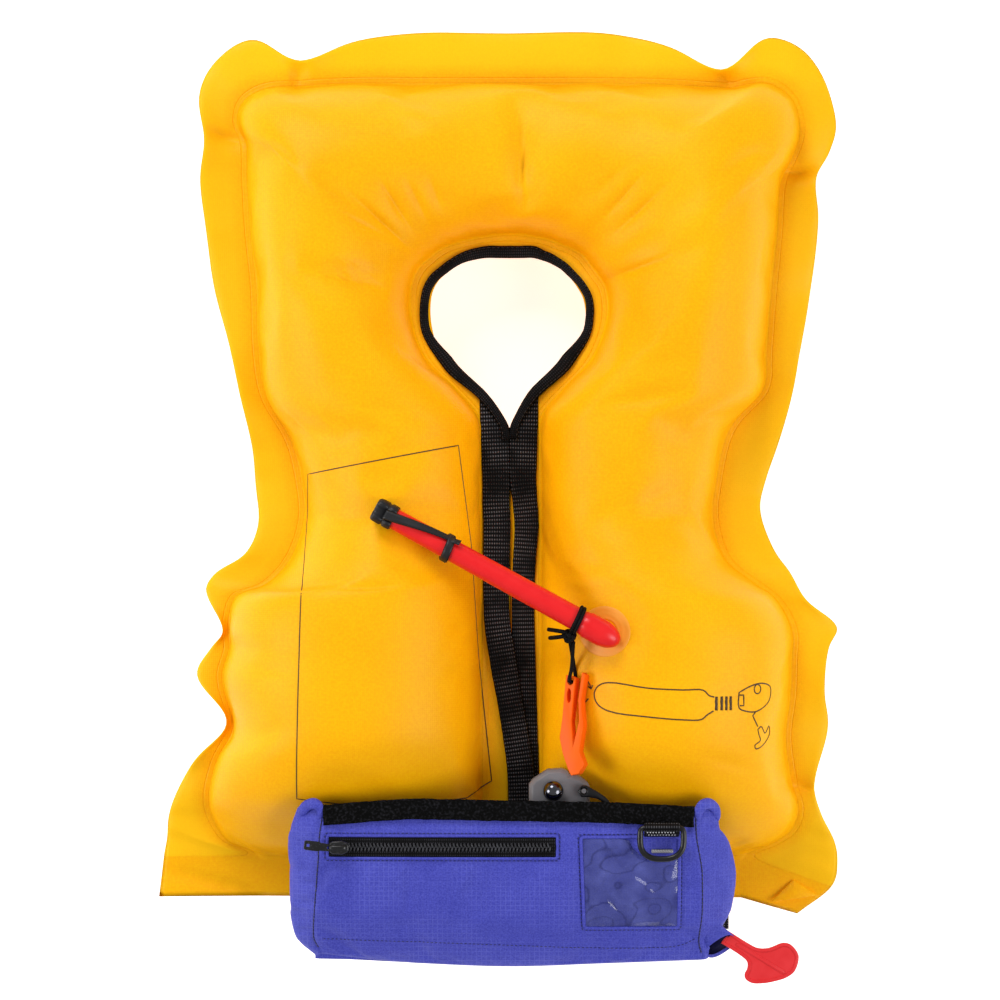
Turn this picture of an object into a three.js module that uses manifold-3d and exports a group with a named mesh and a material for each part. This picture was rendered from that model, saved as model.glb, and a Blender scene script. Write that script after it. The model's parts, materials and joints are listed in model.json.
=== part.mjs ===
// Inflatable belt pack: a horseshoe air bladder blown up out of its waist pouch, lying on its back.
// Millimetres. X runs across the bladder, Y from the pouch up to the collar, Z away from the floor.
import * as THREE from 'three';
import { mergeVertices } from 'three/addons/utils/BufferGeometryUtils.js';
import Module from 'manifold-3d';

const wasm = await Module();
wasm.setup();
const { Manifold, Mesh: SolidMesh } = wasm;

// Driving dimensions
const GAP = 0.4; // clearance between pieces that touch on the real thing
const FILM = 1.6; // two welded layers of coated nylon
const SKIN = 2.5; // wall of the air chamber
const AIR_INSET = 6.4; // how far the air stays from the welds
const PRESS = 3; // how far the chamber's back is pressed flat by the floor
const CHAMBER_END = 27; // y of the weld that closes both lobes
const END_ROUND = 80; // length over which a lobe's end swells to full thickness
const CREST = 0.53; // where a section is thickest, from the slit (0) to the outer weld (1)
const BINDING = { leg: 6.5, thick: 1.2 };
const WEBBING = { wide: 17, thick: 1.4 };
const TUBE = { radius: 7.15, bore: 5.1, long: 150, overhang: 8 };
const CORD = 2.4; // lanyard diameter
const CLOTH = 1.5; // pouch wall

// Bladder sections, from the left hem up round the collar and down to the right hem
// edge: at the slit or neck, weld: outer seam of the chamber, rim: edge of the flange,
// lift: how far the rim curls up, half: half the thickness, seam: width of the inner flange
const SECTION_COLUMNS = ['edgeX', 'edgeY', 'weldX', 'weldY', 'rimX', 'rimY', 'lift', 'half', 'seam'];
const SECTIONS = [
  [-1, 0, -161, 0, -229, 0, 4, 46, 20],
  [-1, 27, -164, 27, -226, 27, 2, 46, 20],
  [-1, 35, -183, 36, -224, 39, 0, 47, 20],
  [-1, 50, -193, 52, -223, 52, -2, 50, 20],
  [-1, 70, -195, 66, -218, 67, -4, 55, 20],
  [-1, 91, -189, 91, -205, 90, 0, 60, 20],
  [-1, 113, -179, 109, -183, 115, 6, 63, 20],
  [-1, 146, -186, 144, -204, 145, -3, 64, 20],
  [-1, 164, -181, 163, -194, 163, 0, 64, 20],
  [-1, 178, -182, 176, -186, 174, 6, 64, 20],
  [-1, 197, -177, 196, -198, 200, -4, 63, 20],
  [-1, 208, -157, 204, -192, 211, -2, 61, 20],
  [-1, 222, -142, 220, -172, 224, 2, 58, 20],
  [-1, 247, -133, 247, -164, 243, 0, 55, 20],
  [-1, 272, -135, 272, -166, 268, -2, 54, 20],
  [-1, 295, -142, 299, -168, 293, 2, 54, 20],
  [-3, 310, -158, 326, -176, 328, 5, 55, 18],
  [-21, 328, -163, 359, -183, 360, 0, 56, 16],
  [-42, 347, -164, 395, -193, 397, -3, 56, 16],
  [-51, 372, -168, 434, -198, 434, 0, 55, 16],
  [-51, 392, -170, 468, -202, 468, 3, 54, 16],
  [-47, 401, -171, 491, -199, 493, 6, 53, 16],
  [-42, 406, -177, 503, -203, 523, 0, 51, 16],
  [-36, 411, -174, 517, -193, 545, -3, 50, 16],
  [-30, 414, -160, 526, -168, 560, 0, 49, 16],
  [-22, 416, -137, 528, -138, 545, 6, 48, 16],
  [-15, 417, -101, 530, -103, 558, 2, 46, 16],
  [-8, 417, -59, 530, -62, 564, 0, 45, 16],
  [0, 417, 0, 530, 0, 564, -2, 44, 16],
  [8, 417, 62, 530, 64, 564, 0, 45, 16],
  [15, 417, 105, 529, 104, 555, 2, 46, 16],
  [22, 415, 145, 527, 139, 539, 6, 48, 16],
  [28, 413, 168, 530, 168, 561, 0, 49, 16],
  [34, 410, 184, 519, 196, 549, -3, 50, 16],
  [39, 404, 188, 499, 213, 506, 0, 51, 16],
  [44, 397, 182, 480, 208, 485, 3, 53, 16],
  [48, 389, 175, 465, 199, 468, 6, 54, 17],
  [49, 372, 173, 434, 201, 441, 0, 55, 17],
  [40, 347, 169, 395, 196, 395, -3, 56, 16],
  [20, 328, 166, 356, 189, 356, 0, 56, 16],
  [3, 310, 164, 331, 184, 329, 4, 55, 18],
  [1, 295, 142, 306, 176, 299, 2, 54, 20],
  [1, 272, 133, 270, 166, 269, -2, 54, 20],
  [1, 247, 131, 246, 163, 252, 0, 55, 20],
  [1, 222, 139, 220, 172, 226, 2, 58, 20],
  [1, 208, 157, 205, 182, 212, 0, 61, 20],
  [1, 196, 172, 194, 192, 194, 4, 63, 20],
  [1, 175, 182, 174, 213, 176, -4, 64, 20],
  [1, 158, 182, 155, 207, 163, 0, 64, 20],
  [1, 132, 181, 131, 204, 135, 4, 64, 20],
  [1, 106, 178, 104, 207, 111, -3, 62, 20],
  [1, 78, 182, 77, 198, 74, 3, 57, 20],
  [1, 57, 187, 57, 203, 54, -2, 52, 20],
  [1, 43, 182, 43, 212, 36, 0, 48, 20],
  [1, 35, 169, 34, 214, 23, 2, 47, 20],
  [1, 27, 153, 27, 211, 7, 0, 46, 20],
  [1, 0, 151, -1, 188, -12, -4, 46, 20],
];

// Main dents and folds of the front skin: middle, direction in degrees, half length, half width, depth
const DENT_COLUMNS = ['x', 'y', 'turn', 'long', 'wide', 'deep'];
const DENTS = [
  [36, 68, 20, 34, 24, 15], // seat of the inflator
  [10, 490, 90, 34, 9, 4], // fold down the middle of the collar
  [-95, 440, 130, 40, 10, 3],
  [-105, 400, 172, 40, 10, 3],
  [98, 412, 30, 36, 10, 3],
  [95, 250, 5, 34, 10, 5], // pull at the right arm
  [-100, 245, -5, 28, 10, 4], // pull at the left arm
];

// Pouch levels from the mouth to the bottom: y of the front panel and of the back panel, their heights,
// the seams at the front panel's sides and the gussets' outermost folds
const POUCH_COLUMNS = ['front', 'back', 'frontZ', 'backZ', 'seamL', 'seamR', 'foldL', 'foldR'];
const POUCH_LEVELS = [
  [66, 47, 116, 89, -120, 115, -134, 130],
  [55, 40, 118, 84, -121, 117, -136, 134],
  [44, 33, 119, 77, -122, 118, -137, 137],
  [21, 14, 117, 64, -123, 121, -138, 141],
  [-4, -6, 110, 61, -124, 121, -136, 138],
  [-23, -23, 99, 66, -124, 121, -131, 129],
  [-34, -34, 92, 74, -121, 121, -125, 126],
];
const MOUTH_WAVE = [-2, 2, 1, 0, -3]; // the front edge's rise along the hook strip, left to right
const FRONT_BULGE = [0, 3, 4, 3, 0]; // how far the front panel stands out, left to right
const EAR = 6; // rise of the gussets at the mouth
const HEM_SAG = [0, -5, -7.5, -5.5, -2.5]; // how far the pouch's foot hangs below its corners, left to right
const SAG_SHARE = [0, 0, 0, 0, 0.2, 0.6, 1]; // how much of that each level has

// Straps down the slit: y, middle of each, and the height of the left one where it crosses over
const STRAP_COLUMNS = ['y', 'left', 'right', 'over'];
const STRAPS = [
  [303, -10.5, 10.2, 0],
  [250, -10.2, 10.2, 0],
  [200, -9.5, 10.2, 0],
  [178, -8, 10.2, 2.4],
  [150, -5, 10.2, 2.4],
  [100, 2, 10.6, 2.4],
  [60, 5, 11, 2.4],
  [42, 5.6, 11.2, 2.4],
  [30, 6, 11.2, 2.4],
];
const STRAP_END = { y: -12, left: 6, right: 11.2 };

// Places on the front, all as x and y
const PORT = [60, 175]; // where the oral tube leaves the chamber
const TUBE_AIM = [-72.4, 246]; // the far end of the oral tube
const RING_FROM_CAP = 40;
const LANYARD_FROM_PORT = 15;
const WHISTLE_TOP = [42, 147];
const NUT_AT = [27.5, 73];
const LEVER_PIN = [47, 73];
const ZIP = { left: -115.5, right: 29, top: 44.4, bottom: 31.8 };
const WINDOW = { left: 45.5, right: 107, top: 43.8, bottom: -14 };
const HOOK = { wide: 13, thick: 1.6 };
const RING = { x: 96.2, y: 50.6, wide: 31, long: 23, bar: 3.3 };
const TAB = { wide: 22.6, low: 45 };
const SLIDER = { x: -108.6, y: 38.1, long: 12.5, wide: 9, tall: 3 };
const PULL = { long: 15.5, wide: 6.4, thick: 1.4, pin: 0.8, eye: 1.2, rim: 2.2 };
const HANDLE = { x: 138, y: -22.5, z: 84, turn: -31, thick: 2.5 };
const BELT = { left: -128, right: 142.5, top: 8, bottom: -20, thick: 1.8 };

const rows = (columns, table) =>
  table.map((row) => Object.fromEntries(columns.map((name, i) => [name, row[i]])));
const V = (x, y, z) => new THREE.Vector3(x, y, z);
const UP = V(0, 0, 1);
const pack = new THREE.Group();

// Adds one named sub-part
function add(name, geometry, color, roughness, metalness = 0) {
  const material = new THREE.MeshStandardMaterial({ color, roughness, metalness });
  const mesh = new THREE.Mesh(geometry, material);
  mesh.name = name;
  pack.add(mesh);
  return mesh;
}

// Closed geometry from triangles of points, turned to face outwards
function closed(points, faces) {
  const shape = new THREE.BufferGeometry().setFromPoints(points);
  shape.setIndex(faces.flat());
  const welded = mergeVertices(shape, 1e-4);
  const at = welded.getAttribute('position');
  const index = welded.getIndex().array;
  const kept = [];
  let volume = 0;
  for (let k = 0; k < index.length; k += 3) {
    const [a, b, c] = [index[k], index[k + 1], index[k + 2]];
    if (a === b || b === c || c === a) continue;
    kept.push([a, b, c]);
    const [p, q, r] = [a, b, c].map((n) => V().fromBufferAttribute(at, n));
    volume += p.dot(q.cross(r)) / 6;
  }
  welded.setIndex(kept.flatMap(([a, b, c]) => (volume < 0 ? [a, c, b] : [a, b, c])));
  welded.computeVertexNormals();
  return welded;
}

// A sheet of nu by nv cells with a top and a bottom surface; a loop joins its first and last columns
function sheet(nu, nv, top, bottom, loop = false) {
  const points = [];
  const faces = [];
  const columns = loop ? nu : nu + 1;
  const id = (side, i, j) => side * columns * (nv + 1) + (i % columns) * (nv + 1) + j;
  for (const side of [top, bottom]) {
    for (let i = 0; i < columns; i++) {
      for (let j = 0; j <= nv; j++) points.push(side(i / nu, j / nv, i, j));
    }
  }
  const quad = (a, b, c, d) => faces.push([a, b, c], [a, c, d]);
  for (let i = 0; i < nu; i++) {
    for (let j = 0; j < nv; j++) {
      quad(id(0, i, j), id(0, i + 1, j), id(0, i + 1, j + 1), id(0, i, j + 1));
      quad(id(1, i, j), id(1, i, j + 1), id(1, i + 1, j + 1), id(1, i + 1, j));
    }
    quad(id(0, i, 0), id(1, i, 0), id(1, i + 1, 0), id(0, i + 1, 0));
    quad(id(0, i, nv), id(0, i + 1, nv), id(1, i + 1, nv), id(1, i, nv));
  }
  for (let j = 0; j < nv && !loop; j++) {
    quad(id(0, 0, j), id(0, 0, j + 1), id(1, 0, j + 1), id(1, 0, j));
    quad(id(0, nu, j), id(1, nu, j), id(1, nu, j + 1), id(0, nu, j + 1));
  }
  return closed(points, faces);
}

// Skins a row of rings, each with the same number of points, and caps both ends by the flat outlines given
function loft(rings, firstFlat, lastFlat) {
  const count = rings[0].length;
  const faces = [];
  for (let r = 0; r + 1 < rings.length; r++) {
    for (let n = 0; n < count; n++) {
      const [a, b] = [r * count + n, r * count + ((n + 1) % count)];
      faces.push([a, b, b + count], [a, b + count, a + count]);
    }
  }
  const lastStart = (rings.length - 1) * count;
  for (const [flat, start, first] of [[firstFlat, 0, true], [lastFlat, lastStart, false]]) {
    const turned = THREE.ShapeUtils.isClockWise(flat) !== first;
    for (const [a, b, c] of THREE.ShapeUtils.triangulateShape(flat, [])) {
      faces.push(turned ? [start + a, start + c, start + b] : [start + a, start + b, start + c]);
    }
  }
  return closed(rings.flat(), faces);
}

// A flat profile carried along stations, each with a place and two axes
function sweep(profile, stations) {
  const flat = profile.map(([a, b]) => new THREE.Vector2(a, b));
  const rings = stations.map(({ at, across, up }) =>
    profile.map(([a, b]) => at.clone().addScaledVector(across, a).addScaledVector(up, b)));
  return loft(rings, flat, flat);
}

// Conversions for adding and cutting solids
function solid(geometry) {
  const at = geometry.getAttribute('position');
  const index = geometry.getIndex();
  const corners = index ? index.array : Array.from({ length: at.count }, (_, k) => k);
  const mesh = new SolidMesh({
    numProp: 3,
    vertProperties: new Float32Array(at.array),
    triVerts: new Uint32Array(corners),
  });
  mesh.merge();
  return new Manifold(mesh);
}

function shapeOf(body) {
  const mesh = body.getMesh();
  const shape = new THREE.BufferGeometry();
  shape.setAttribute('position', new THREE.BufferAttribute(new Float32Array(mesh.vertProperties), 3));
  shape.setIndex([...mesh.triVerts]);
  shape.computeVertexNormals();
  return shape;
}

const union = (...shapes) => shapeOf(Manifold.union(shapes.map(solid)));
const cut = (shape, ...tools) => shapeOf(solid(shape).subtract(Manifold.union(tools.map(solid))));

// A round bar between two points
function bar(from, to, radius, sides = 20) {
  const shape = new THREE.CylinderGeometry(radius, radius, from.distanceTo(to), sides);
  const turn = new THREE.Quaternion().setFromUnitVectors(V(0, 1, 0), to.clone().sub(from).normalize());
  const middle = from.clone().add(to).multiplyScalar(0.5);
  return shape.applyQuaternion(turn).translate(middle.x, middle.y, middle.z);
}

const ball = (at, radius, sides = 16) =>
  new THREE.SphereGeometry(radius, sides, sides / 2).translate(at.x, at.y, at.z);
const block = (x0, x1, y0, y1, z0, z1) =>
  new THREE.BoxGeometry(x1 - x0, y1 - y0, z1 - z0)
    .translate((x0 + x1) / 2, (y0 + y1) / 2, (z0 + z1) / 2);
const plate = (points, depth, bevel = 0) =>
  new THREE.ExtrudeGeometry(new THREE.Shape(points.map(([x, y]) => new THREE.Vector2(x, y))), {
    depth: depth - 2 * bevel, bevelEnabled: bevel > 0, bevelSize: bevel, bevelThickness: bevel,
    bevelOffset: -bevel, bevelSegments: 2, curveSegments: 8,
  }).translate(0, 0, bevel);

// Round cord along a route
function cord(route, diameter, steps) {
  const circle = new THREE.Shape().absarc(0, 0, diameter / 2, 0, 2 * Math.PI);
  const path = new THREE.CatmullRomCurve3(route);
  return new THREE.ExtrudeGeometry(circle, { extrudePath: path, steps, curveSegments: 4 });
}

// Height of a finished piece above (x, y), from the front or from behind; the floor's if it isn't there
function heightOf(mesh, fromBelow = false) {
  mesh.updateMatrixWorld();
  mesh.material.side = THREE.DoubleSide;
  const ray = new THREE.Raycaster();
  return (x, y) => {
    ray.set(V(x, y, fromBelow ? -500 : 500), V(0, 0, fromBelow ? 1 : -1));
    const hits = ray.intersectObject(mesh);
    return hits.length ? hits[0].point.z : 0;
  };
}

// Bladder: sections between the table's rows
const sections = rows(SECTION_COLUMNS, SECTIONS);
const through = (x, y, z) => new THREE.CatmullRomCurve3(sections.map((s) => V(s[x], s[y], s[z])));
const edgeLine = through('edgeX', 'edgeY', 'seam');
const weldLine = through('weldX', 'weldY', 'half');
const rimLine = through('rimX', 'rimY', 'lift');

function sectionAt(t) {
  const edge = edgeLine.getPoint(t);
  const weld = weldLine.getPoint(t);
  const rim = rimLine.getPoint(t);
  const [seam, half, lift] = [edge.z, weld.z, rim.z];
  const mid = half - PRESS;
  for (const point of [edge, weld, rim]) point.z = mid;
  const across = weld.clone().sub(edge).normalize();
  const valley = edge.clone().addScaledVector(across, seam);
  const reach = THREE.MathUtils.clamp((edge.y - CHAMBER_END) / END_ROUND, 0, 1);
  const full = half * Math.sqrt(1 - (1 - reach) ** 2);
  return { edge, valley, weld, rim, across, lift, mid, full };
}

function dentAt(x, y) {
  let deep = 0;
  for (const dent of rows(DENT_COLUMNS, DENTS)) {
    const turn = THREE.MathUtils.degToRad(dent.turn);
    const along = (x - dent.x) * Math.cos(turn) + (y - dent.y) * Math.sin(turn);
    const aside = (y - dent.y) * Math.cos(turn) - (x - dent.x) * Math.sin(turn);
    deep += dent.deep * Math.exp(-((along / dent.long) ** 2) - (aside / dent.wide) ** 2);
  }
  return deep;
}

// One point of the chamber's wall: angle 0 at the slit's weld and pi at the outer weld
function chamberPoint(t, angle, front, inset) {
  const { valley, weld, mid, full } = sectionAt(t);
  const half = angle < Math.PI / 2 ? CREST : 1 - CREST;
  const share = CREST - half * Math.cos(angle);
  const narrow = inset ? AIR_INSET / valley.distanceTo(weld) : 0;
  const at = valley.clone().lerp(weld, narrow + (1 - 2 * narrow) * share);
  const swell = Math.max(full - inset, 0) * Math.sin(angle);
  const film = inset ? 0 : FILM / 2;
  if (front) at.z = mid + film + Math.max(swell - dentAt(at.x, at.y) * Math.sin(angle), 0);
  else at.z = Math.max(mid - film - swell, inset);
  return at;
}

const ACROSS = { seam: 1, chamber: 10, flange: 1 };
function skinPoint(t, j, front) {
  const { edge, weld, rim, lift, mid } = sectionAt(t);
  const film = front ? FILM / 2 : -FILM / 2;
  if (j < ACROSS.seam) return edge.setZ(mid + film);
  const k = j - ACROSS.seam;
  if (k <= ACROSS.chamber) return chamberPoint(t, (Math.PI * k) / ACROSS.chamber, front, 0);
  const out = (k - ACROSS.chamber) / ACROSS.flange;
  return weld.lerp(rim, out).setZ(mid + film + lift * out ** 2);
}

const ALONG = 70;
const wide = ACROSS.seam + ACROSS.chamber + ACROSS.flange;
const envelope = sheet(ALONG, wide,
  (t, v, i, j) => skinPoint(t, j, true), (t, v, i, j) => skinPoint(t, j, false));
const airEnds = [0.055, 0.945];
const air = sheet(36, 8,
  (u, v) => chamberPoint(THREE.MathUtils.lerp(...airEnds, u), Math.PI * v, true, SKIN),
  (u, v) => chamberPoint(THREE.MathUtils.lerp(...airEnds, u), Math.PI * v, false, SKIN));
const skinHeight = heightOf(new THREE.Mesh(envelope, new THREE.MeshStandardMaterial()));

// Port: its place, the skin's slope there and the oral tube's line
const portAt = V(PORT[0], PORT[1], skinHeight(...PORT));
const portUp = V(skinHeight(PORT[0] - 4, PORT[1]) - skinHeight(PORT[0] + 4, PORT[1]),
  skinHeight(PORT[0], PORT[1] - 4) - skinHeight(PORT[0], PORT[1] + 4), 8).normalize();
const fromPort = (far) => portAt.clone().addScaledVector(portUp, far);
const portHole = bar(fromPort(-12), fromPort(12), 4.5);
const bladder = add('bladder', cut(envelope, air, portHole), '#fdb813', 0.55);
const onBladder = heightOf(bladder);

// Neck binding: tape folded over the edge of the neck opening
const NECK_ROWS = [16, 40];
const leg = [FILM / 2 + GAP, FILM / 2 + GAP + BINDING.thick];
const fold = [-GAP, -GAP - BINDING.thick];
const bindingOut = [[BINDING.leg, leg[1]], [fold[1], leg[1]], [fold[1], -leg[1]], [BINDING.leg, -leg[1]]];
const bindingIn = [[BINDING.leg, -leg[0]], [fold[0], -leg[0]], [fold[0], leg[0]], [BINDING.leg, leg[0]]];
const bindingSteps = 30;
const neckEdge = Array.from({ length: bindingSteps + 1 }, (_, k) => {
  const row = THREE.MathUtils.lerp(...NECK_ROWS, k / bindingSteps);
  const { edge, across } = sectionAt(row / (sections.length - 1));
  return { at: edge, across, up: UP };
});
add('neck_binding', sweep([...bindingOut, ...bindingIn], neckEdge), '#17171a', 0.85);

// Pouch: rings of corners from the mouth to the bottom, the inner ones one cloth thickness further in
const levels = rows(POUCH_COLUMNS, POUCH_LEVELS);
function pouchRing(level, k) {
  const { front, back, frontZ, backZ, seamL, seamR, foldL, foldR } = level;
  const mouth = k === 0 ? 1 : 0;
  const middleZ = (frontZ + backZ) / 2;
  const middle = (front + back) / 2 + EAR * mouth;
  const backL = THREE.MathUtils.lerp(seamL, foldL, 0.5);
  const backR = THREE.MathUtils.lerp(seamR, foldR, 0.5);
  const flatness = (frontZ - backZ) / 40;
  const ring = MOUTH_WAVE.map((wave, n) => V(THREE.MathUtils.lerp(seamL, seamR, n / 4),
    front + wave * mouth + HEM_SAG[n] * SAG_SHARE[k],
    frontZ - 4 + FRONT_BULGE[n] * Math.min(flatness, 1)));
  const backLow = k === levels.length - 1 ? back + HEM_SAG[2] : back;
  ring.push(V(foldR, middle, middleZ), V(backR, back, backZ + 1), V(0, backLow, backZ));
  ring.push(V(backL, back, backZ + 1), V(foldL, middle, middleZ));
  return ring;
}

function inward(ring, by) {
  const count = ring.length;
  return ring.map((point, n) => {
    const before = ring[(n + count - 1) % count];
    const after = ring[(n + 1) % count];
    const one = V(point.z - before.z, 0, before.x - point.x).normalize();
    const two = V(after.z - point.z, 0, point.x - after.x).normalize();
    const bisector = one.clone().add(two).normalize();
    return point.clone().addScaledVector(bisector, by / Math.max(bisector.dot(one), 0.4));
  });
}

const pouchOuter = levels.map(pouchRing);
const pouchInner = pouchOuter.map((ring) => inward(ring, -CLOTH));
pouchInner[levels.length - 1].forEach((point) => { point.y += CLOTH; });
const seenFromMouth = (ring) => ring.map((point) => new THREE.Vector2(point.x, point.z));
const bag = loft([...pouchInner.slice().reverse(), ...pouchOuter],
  seenFromMouth(pouchInner.at(-1)), seenFromMouth(pouchOuter.at(-1)));
const pouch = add('pouch', bag, '#4b45b5', 0.8);
const onPouch = heightOf(pouch);
const underPouch = heightOf(pouch, true);

// A flat piece laid on the pouch's front, with a thickness that may vary
function laid(x0, x1, topOf, bottomOf, nu, nv, thick) {
  const place = (lift) => (u, v) => {
    const x = THREE.MathUtils.lerp(x0, x1, u);
    const y = THREE.MathUtils.lerp(topOf(x), bottomOf(x), v);
    return V(x, y, onPouch(x, y) + 2 * GAP + (lift ? thick(u, v) : 0));
  };
  return sheet(nu, nv, place(true), place(false));
}

const mouthEdge = (x) => {
  const [seamL, seamR] = [levels[0].seamL, levels[0].seamR];
  const place = THREE.MathUtils.clamp(((x - seamL) / (seamR - seamL)) * 4, 0, 3.999);
  const n = Math.floor(place);
  return levels[0].front + THREE.MathUtils.lerp(MOUTH_WAVE[n], MOUTH_WAVE[n + 1], place - n);
};
const hookTop = (x) => mouthEdge(x) - 0.6;
const hookShape = laid(levels[0].seamL + 2, levels[0].seamR - 2, hookTop, (x) => hookTop(x) - HOOK.wide,
  20, 2, () => HOOK.thick);
add('hook_strip', hookShape, '#141416', 0.95);

// Zip: tape with its closed teeth as one ridge, a slider and a swinging pull
const zipTeeth = (u, v) => (v > 0.4 && v < 0.6 ? 2.4 : 1);
const zipTape = laid(ZIP.left, ZIP.right, () => ZIP.top, () => ZIP.bottom, 12, 7, zipTeeth);
add('zip_tape', zipTape, '#151517', 0.7);
const sliderSeat = Math.max(...[-6, 0, 6].map((x) => onPouch(SLIDER.x + x, SLIDER.y)));
const sliderZ = sliderSeat + 2.4 + 3 * GAP;
const pullPin = V(SLIDER.x - SLIDER.long / 2 - 0.6, SLIDER.y, sliderZ + PULL.rim + 0.6);
const cheeks = [-3.6, 3.6].map((aside) => block(pullPin.x - 1.6, SLIDER.x - 2,
  SLIDER.y + aside - 0.6, SLIDER.y + aside + 0.6, sliderZ, pullPin.z + 1.6));
const halfPin = V(0, 3.6, 0);
const pinBar = bar(pullPin.clone().sub(halfPin), pullPin.clone().add(halfPin), PULL.pin);
const sliderPlate = block(SLIDER.x - SLIDER.long / 2 + 2.6, SLIDER.x + SLIDER.long / 2,
  SLIDER.y - SLIDER.wide / 2, SLIDER.y + SLIDER.wide / 2, sliderZ, sliderZ + SLIDER.tall);
add('zip_slider', union(sliderPlate, pinBar, ...cheeks), '#1c1c1f', 0.4, 0.3);
const eyeHalf = V(0, 2.5, 0);
const pullEye = bar(pullPin.clone().sub(eyeHalf), pullPin.clone().add(eyeHalf), PULL.rim);
const pullTab = block(pullPin.x - PULL.long, pullPin.x - 1, SLIDER.y - PULL.wide / 2 + 0.4,
  SLIDER.y + PULL.wide / 2 - 0.4, pullPin.z - PULL.thick / 2, pullPin.z + PULL.thick / 2);
const cheekRoom = [-3.6, 3.6].map((aside) => block(pullPin.x - 2.2, pullPin.x + 4,
  SLIDER.y + aside - 1.1, SLIDER.y + aside + 1.1, pullPin.z - 3, pullPin.z + 3));
const [boreFrom, boreTo] = [-2, 2].map((far) => pullPin.clone().addScaledVector(halfPin, far));
const pullBore = bar(boreFrom, boreTo, PULL.eye);
add('zip_pull', cut(union(pullEye, pullTab), pullBore, ...cheekRoom), '#1c1c1f', 0.45, 0.3);

// Clear window of the card pocket
add('window', laid(WINDOW.left, WINDOW.right, () => WINDOW.top, () => WINDOW.bottom, 8, 8, () => 0.8),
  '#8f93d6', 0.15);

// Ring and the webbing tab folded round its straight side
const ringSeat = Math.max(onPouch(RING.x - 11, RING.y), onPouch(RING.x + 11, RING.y));
const ringBarZ = ringSeat + HOOK.thick + 3 * GAP + 3.8;
const ringReach = RING.long - RING.bar;
const ringHalf = (RING.wide - RING.bar) / 2;
const ringBend = 5;
const ringPoint = (x, y) => V(RING.x + x, RING.y + y, ringBarZ);
const ringArc = Array.from({ length: 13 }, (_, k) => {
  const angle = Math.PI + (Math.PI * k) / 12;
  return ringPoint(ringHalf * Math.cos(angle), -ringBend + (ringReach - ringBend) * Math.sin(angle));
});
const ringCorners = [ringPoint(ringHalf - 1, -0.2), ringPoint(ringHalf * 0.5, 0), ringPoint(0, 0),
  ringPoint(-ringHalf * 0.5, 0), ringPoint(1 - ringHalf, -0.2)];
const ringLine = new THREE.CatmullRomCurve3([...ringArc, ...ringCorners], true);
add('d_ring', new THREE.TubeGeometry(ringLine, 38, RING.bar / 2, 6, true), '#26272b', 0.35);

const tabHole = RING.bar / 2 + 1.5 * GAP;
const tabRound = tabHole + 1.3;
const tabBack = onPouch(RING.x, TAB.low + 2) - ringBarZ + GAP;
const tabOutline = new THREE.Shape();
tabOutline.absarc(0, 0, tabRound, 0, Math.PI, false);
tabOutline.lineTo(-tabRound, -2);
tabOutline.lineTo(-tabRound + 1, TAB.low - RING.y);
tabOutline.lineTo(tabBack < -tabRound ? tabRound - 1 : tabRound, TAB.low - RING.y);
tabOutline.lineTo(tabRound, -2);
tabOutline.holes.push(new THREE.Path().absarc(0, 0, tabHole, 0, 2 * Math.PI, true));
const tabShape = new THREE.ExtrudeGeometry(tabOutline,
  { depth: TAB.wide, bevelEnabled: false, curveSegments: 8 });
tabShape.applyMatrix4(new THREE.Matrix4().makeBasis(V(0, 0, -1), V(0, 1, 0), V(1, 0, 0)));
add('ring_tab', tabShape.translate(RING.x - TAB.wide / 2, RING.y, ringBarZ), '#1a1a1d', 0.9);

// Waist belt behind the pouch, and the two straps that tie it to the neck opening
const beltFace = (u, v) => {
  const x = THREE.MathUtils.lerp(BELT.left, BELT.right, u);
  const y = THREE.MathUtils.lerp(BELT.top, BELT.bottom, v);
  return V(x, y, underPouch(Math.min(Math.max(x, -120), 118), y) - GAP);
};
const beltBack = (u, v) => beltFace(u, v).sub(V(0, 0, BELT.thick));
add('waist_belt', sheet(14, 2, beltFace, beltBack), '#141416', 0.9);

function strap(name, side) {
  const half = WEBBING.wide / 2;
  const places = rows(STRAP_COLUMNS, STRAPS).map((row) => {
    const x = row[side];
    const flange = onBladder(side === 'left' ? -11 : 11, row.y);
    return V(x, row.y, flange + 2 * GAP + WEBBING.thick / 2 + (side === 'left' ? row.over : 0));
  });
  const layer = side === 'left' ? 0 : WEBBING.thick + GAP;
  for (const y of [6, 0, STRAP_END.y]) {
    const under = underPouch(0, y) - 5 * GAP - BELT.thick - WEBBING.thick / 2 - layer;
    places.push(V(STRAP_END[side], y, y > 0 ? under - 2 : under));
  }
  const line = new THREE.CatmullRomCurve3(places);
  const steps = 34;
  const stations = Array.from({ length: steps + 1 }, (_, k) => {
    const along = line.getTangent(k / steps);
    return { at: line.getPoint(k / steps), across: V(1, 0, 0), up: V(1, 0, 0).cross(along).normalize() };
  });
  const profile = [[-half, -WEBBING.thick / 2], [half, -WEBBING.thick / 2],
    [half, WEBBING.thick / 2], [-half, WEBBING.thick / 2]];
  add(name, sweep(profile, stations), '#161618', 0.9);
}
strap('strap_left', 'left');
strap('strap_right', 'right');

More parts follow.
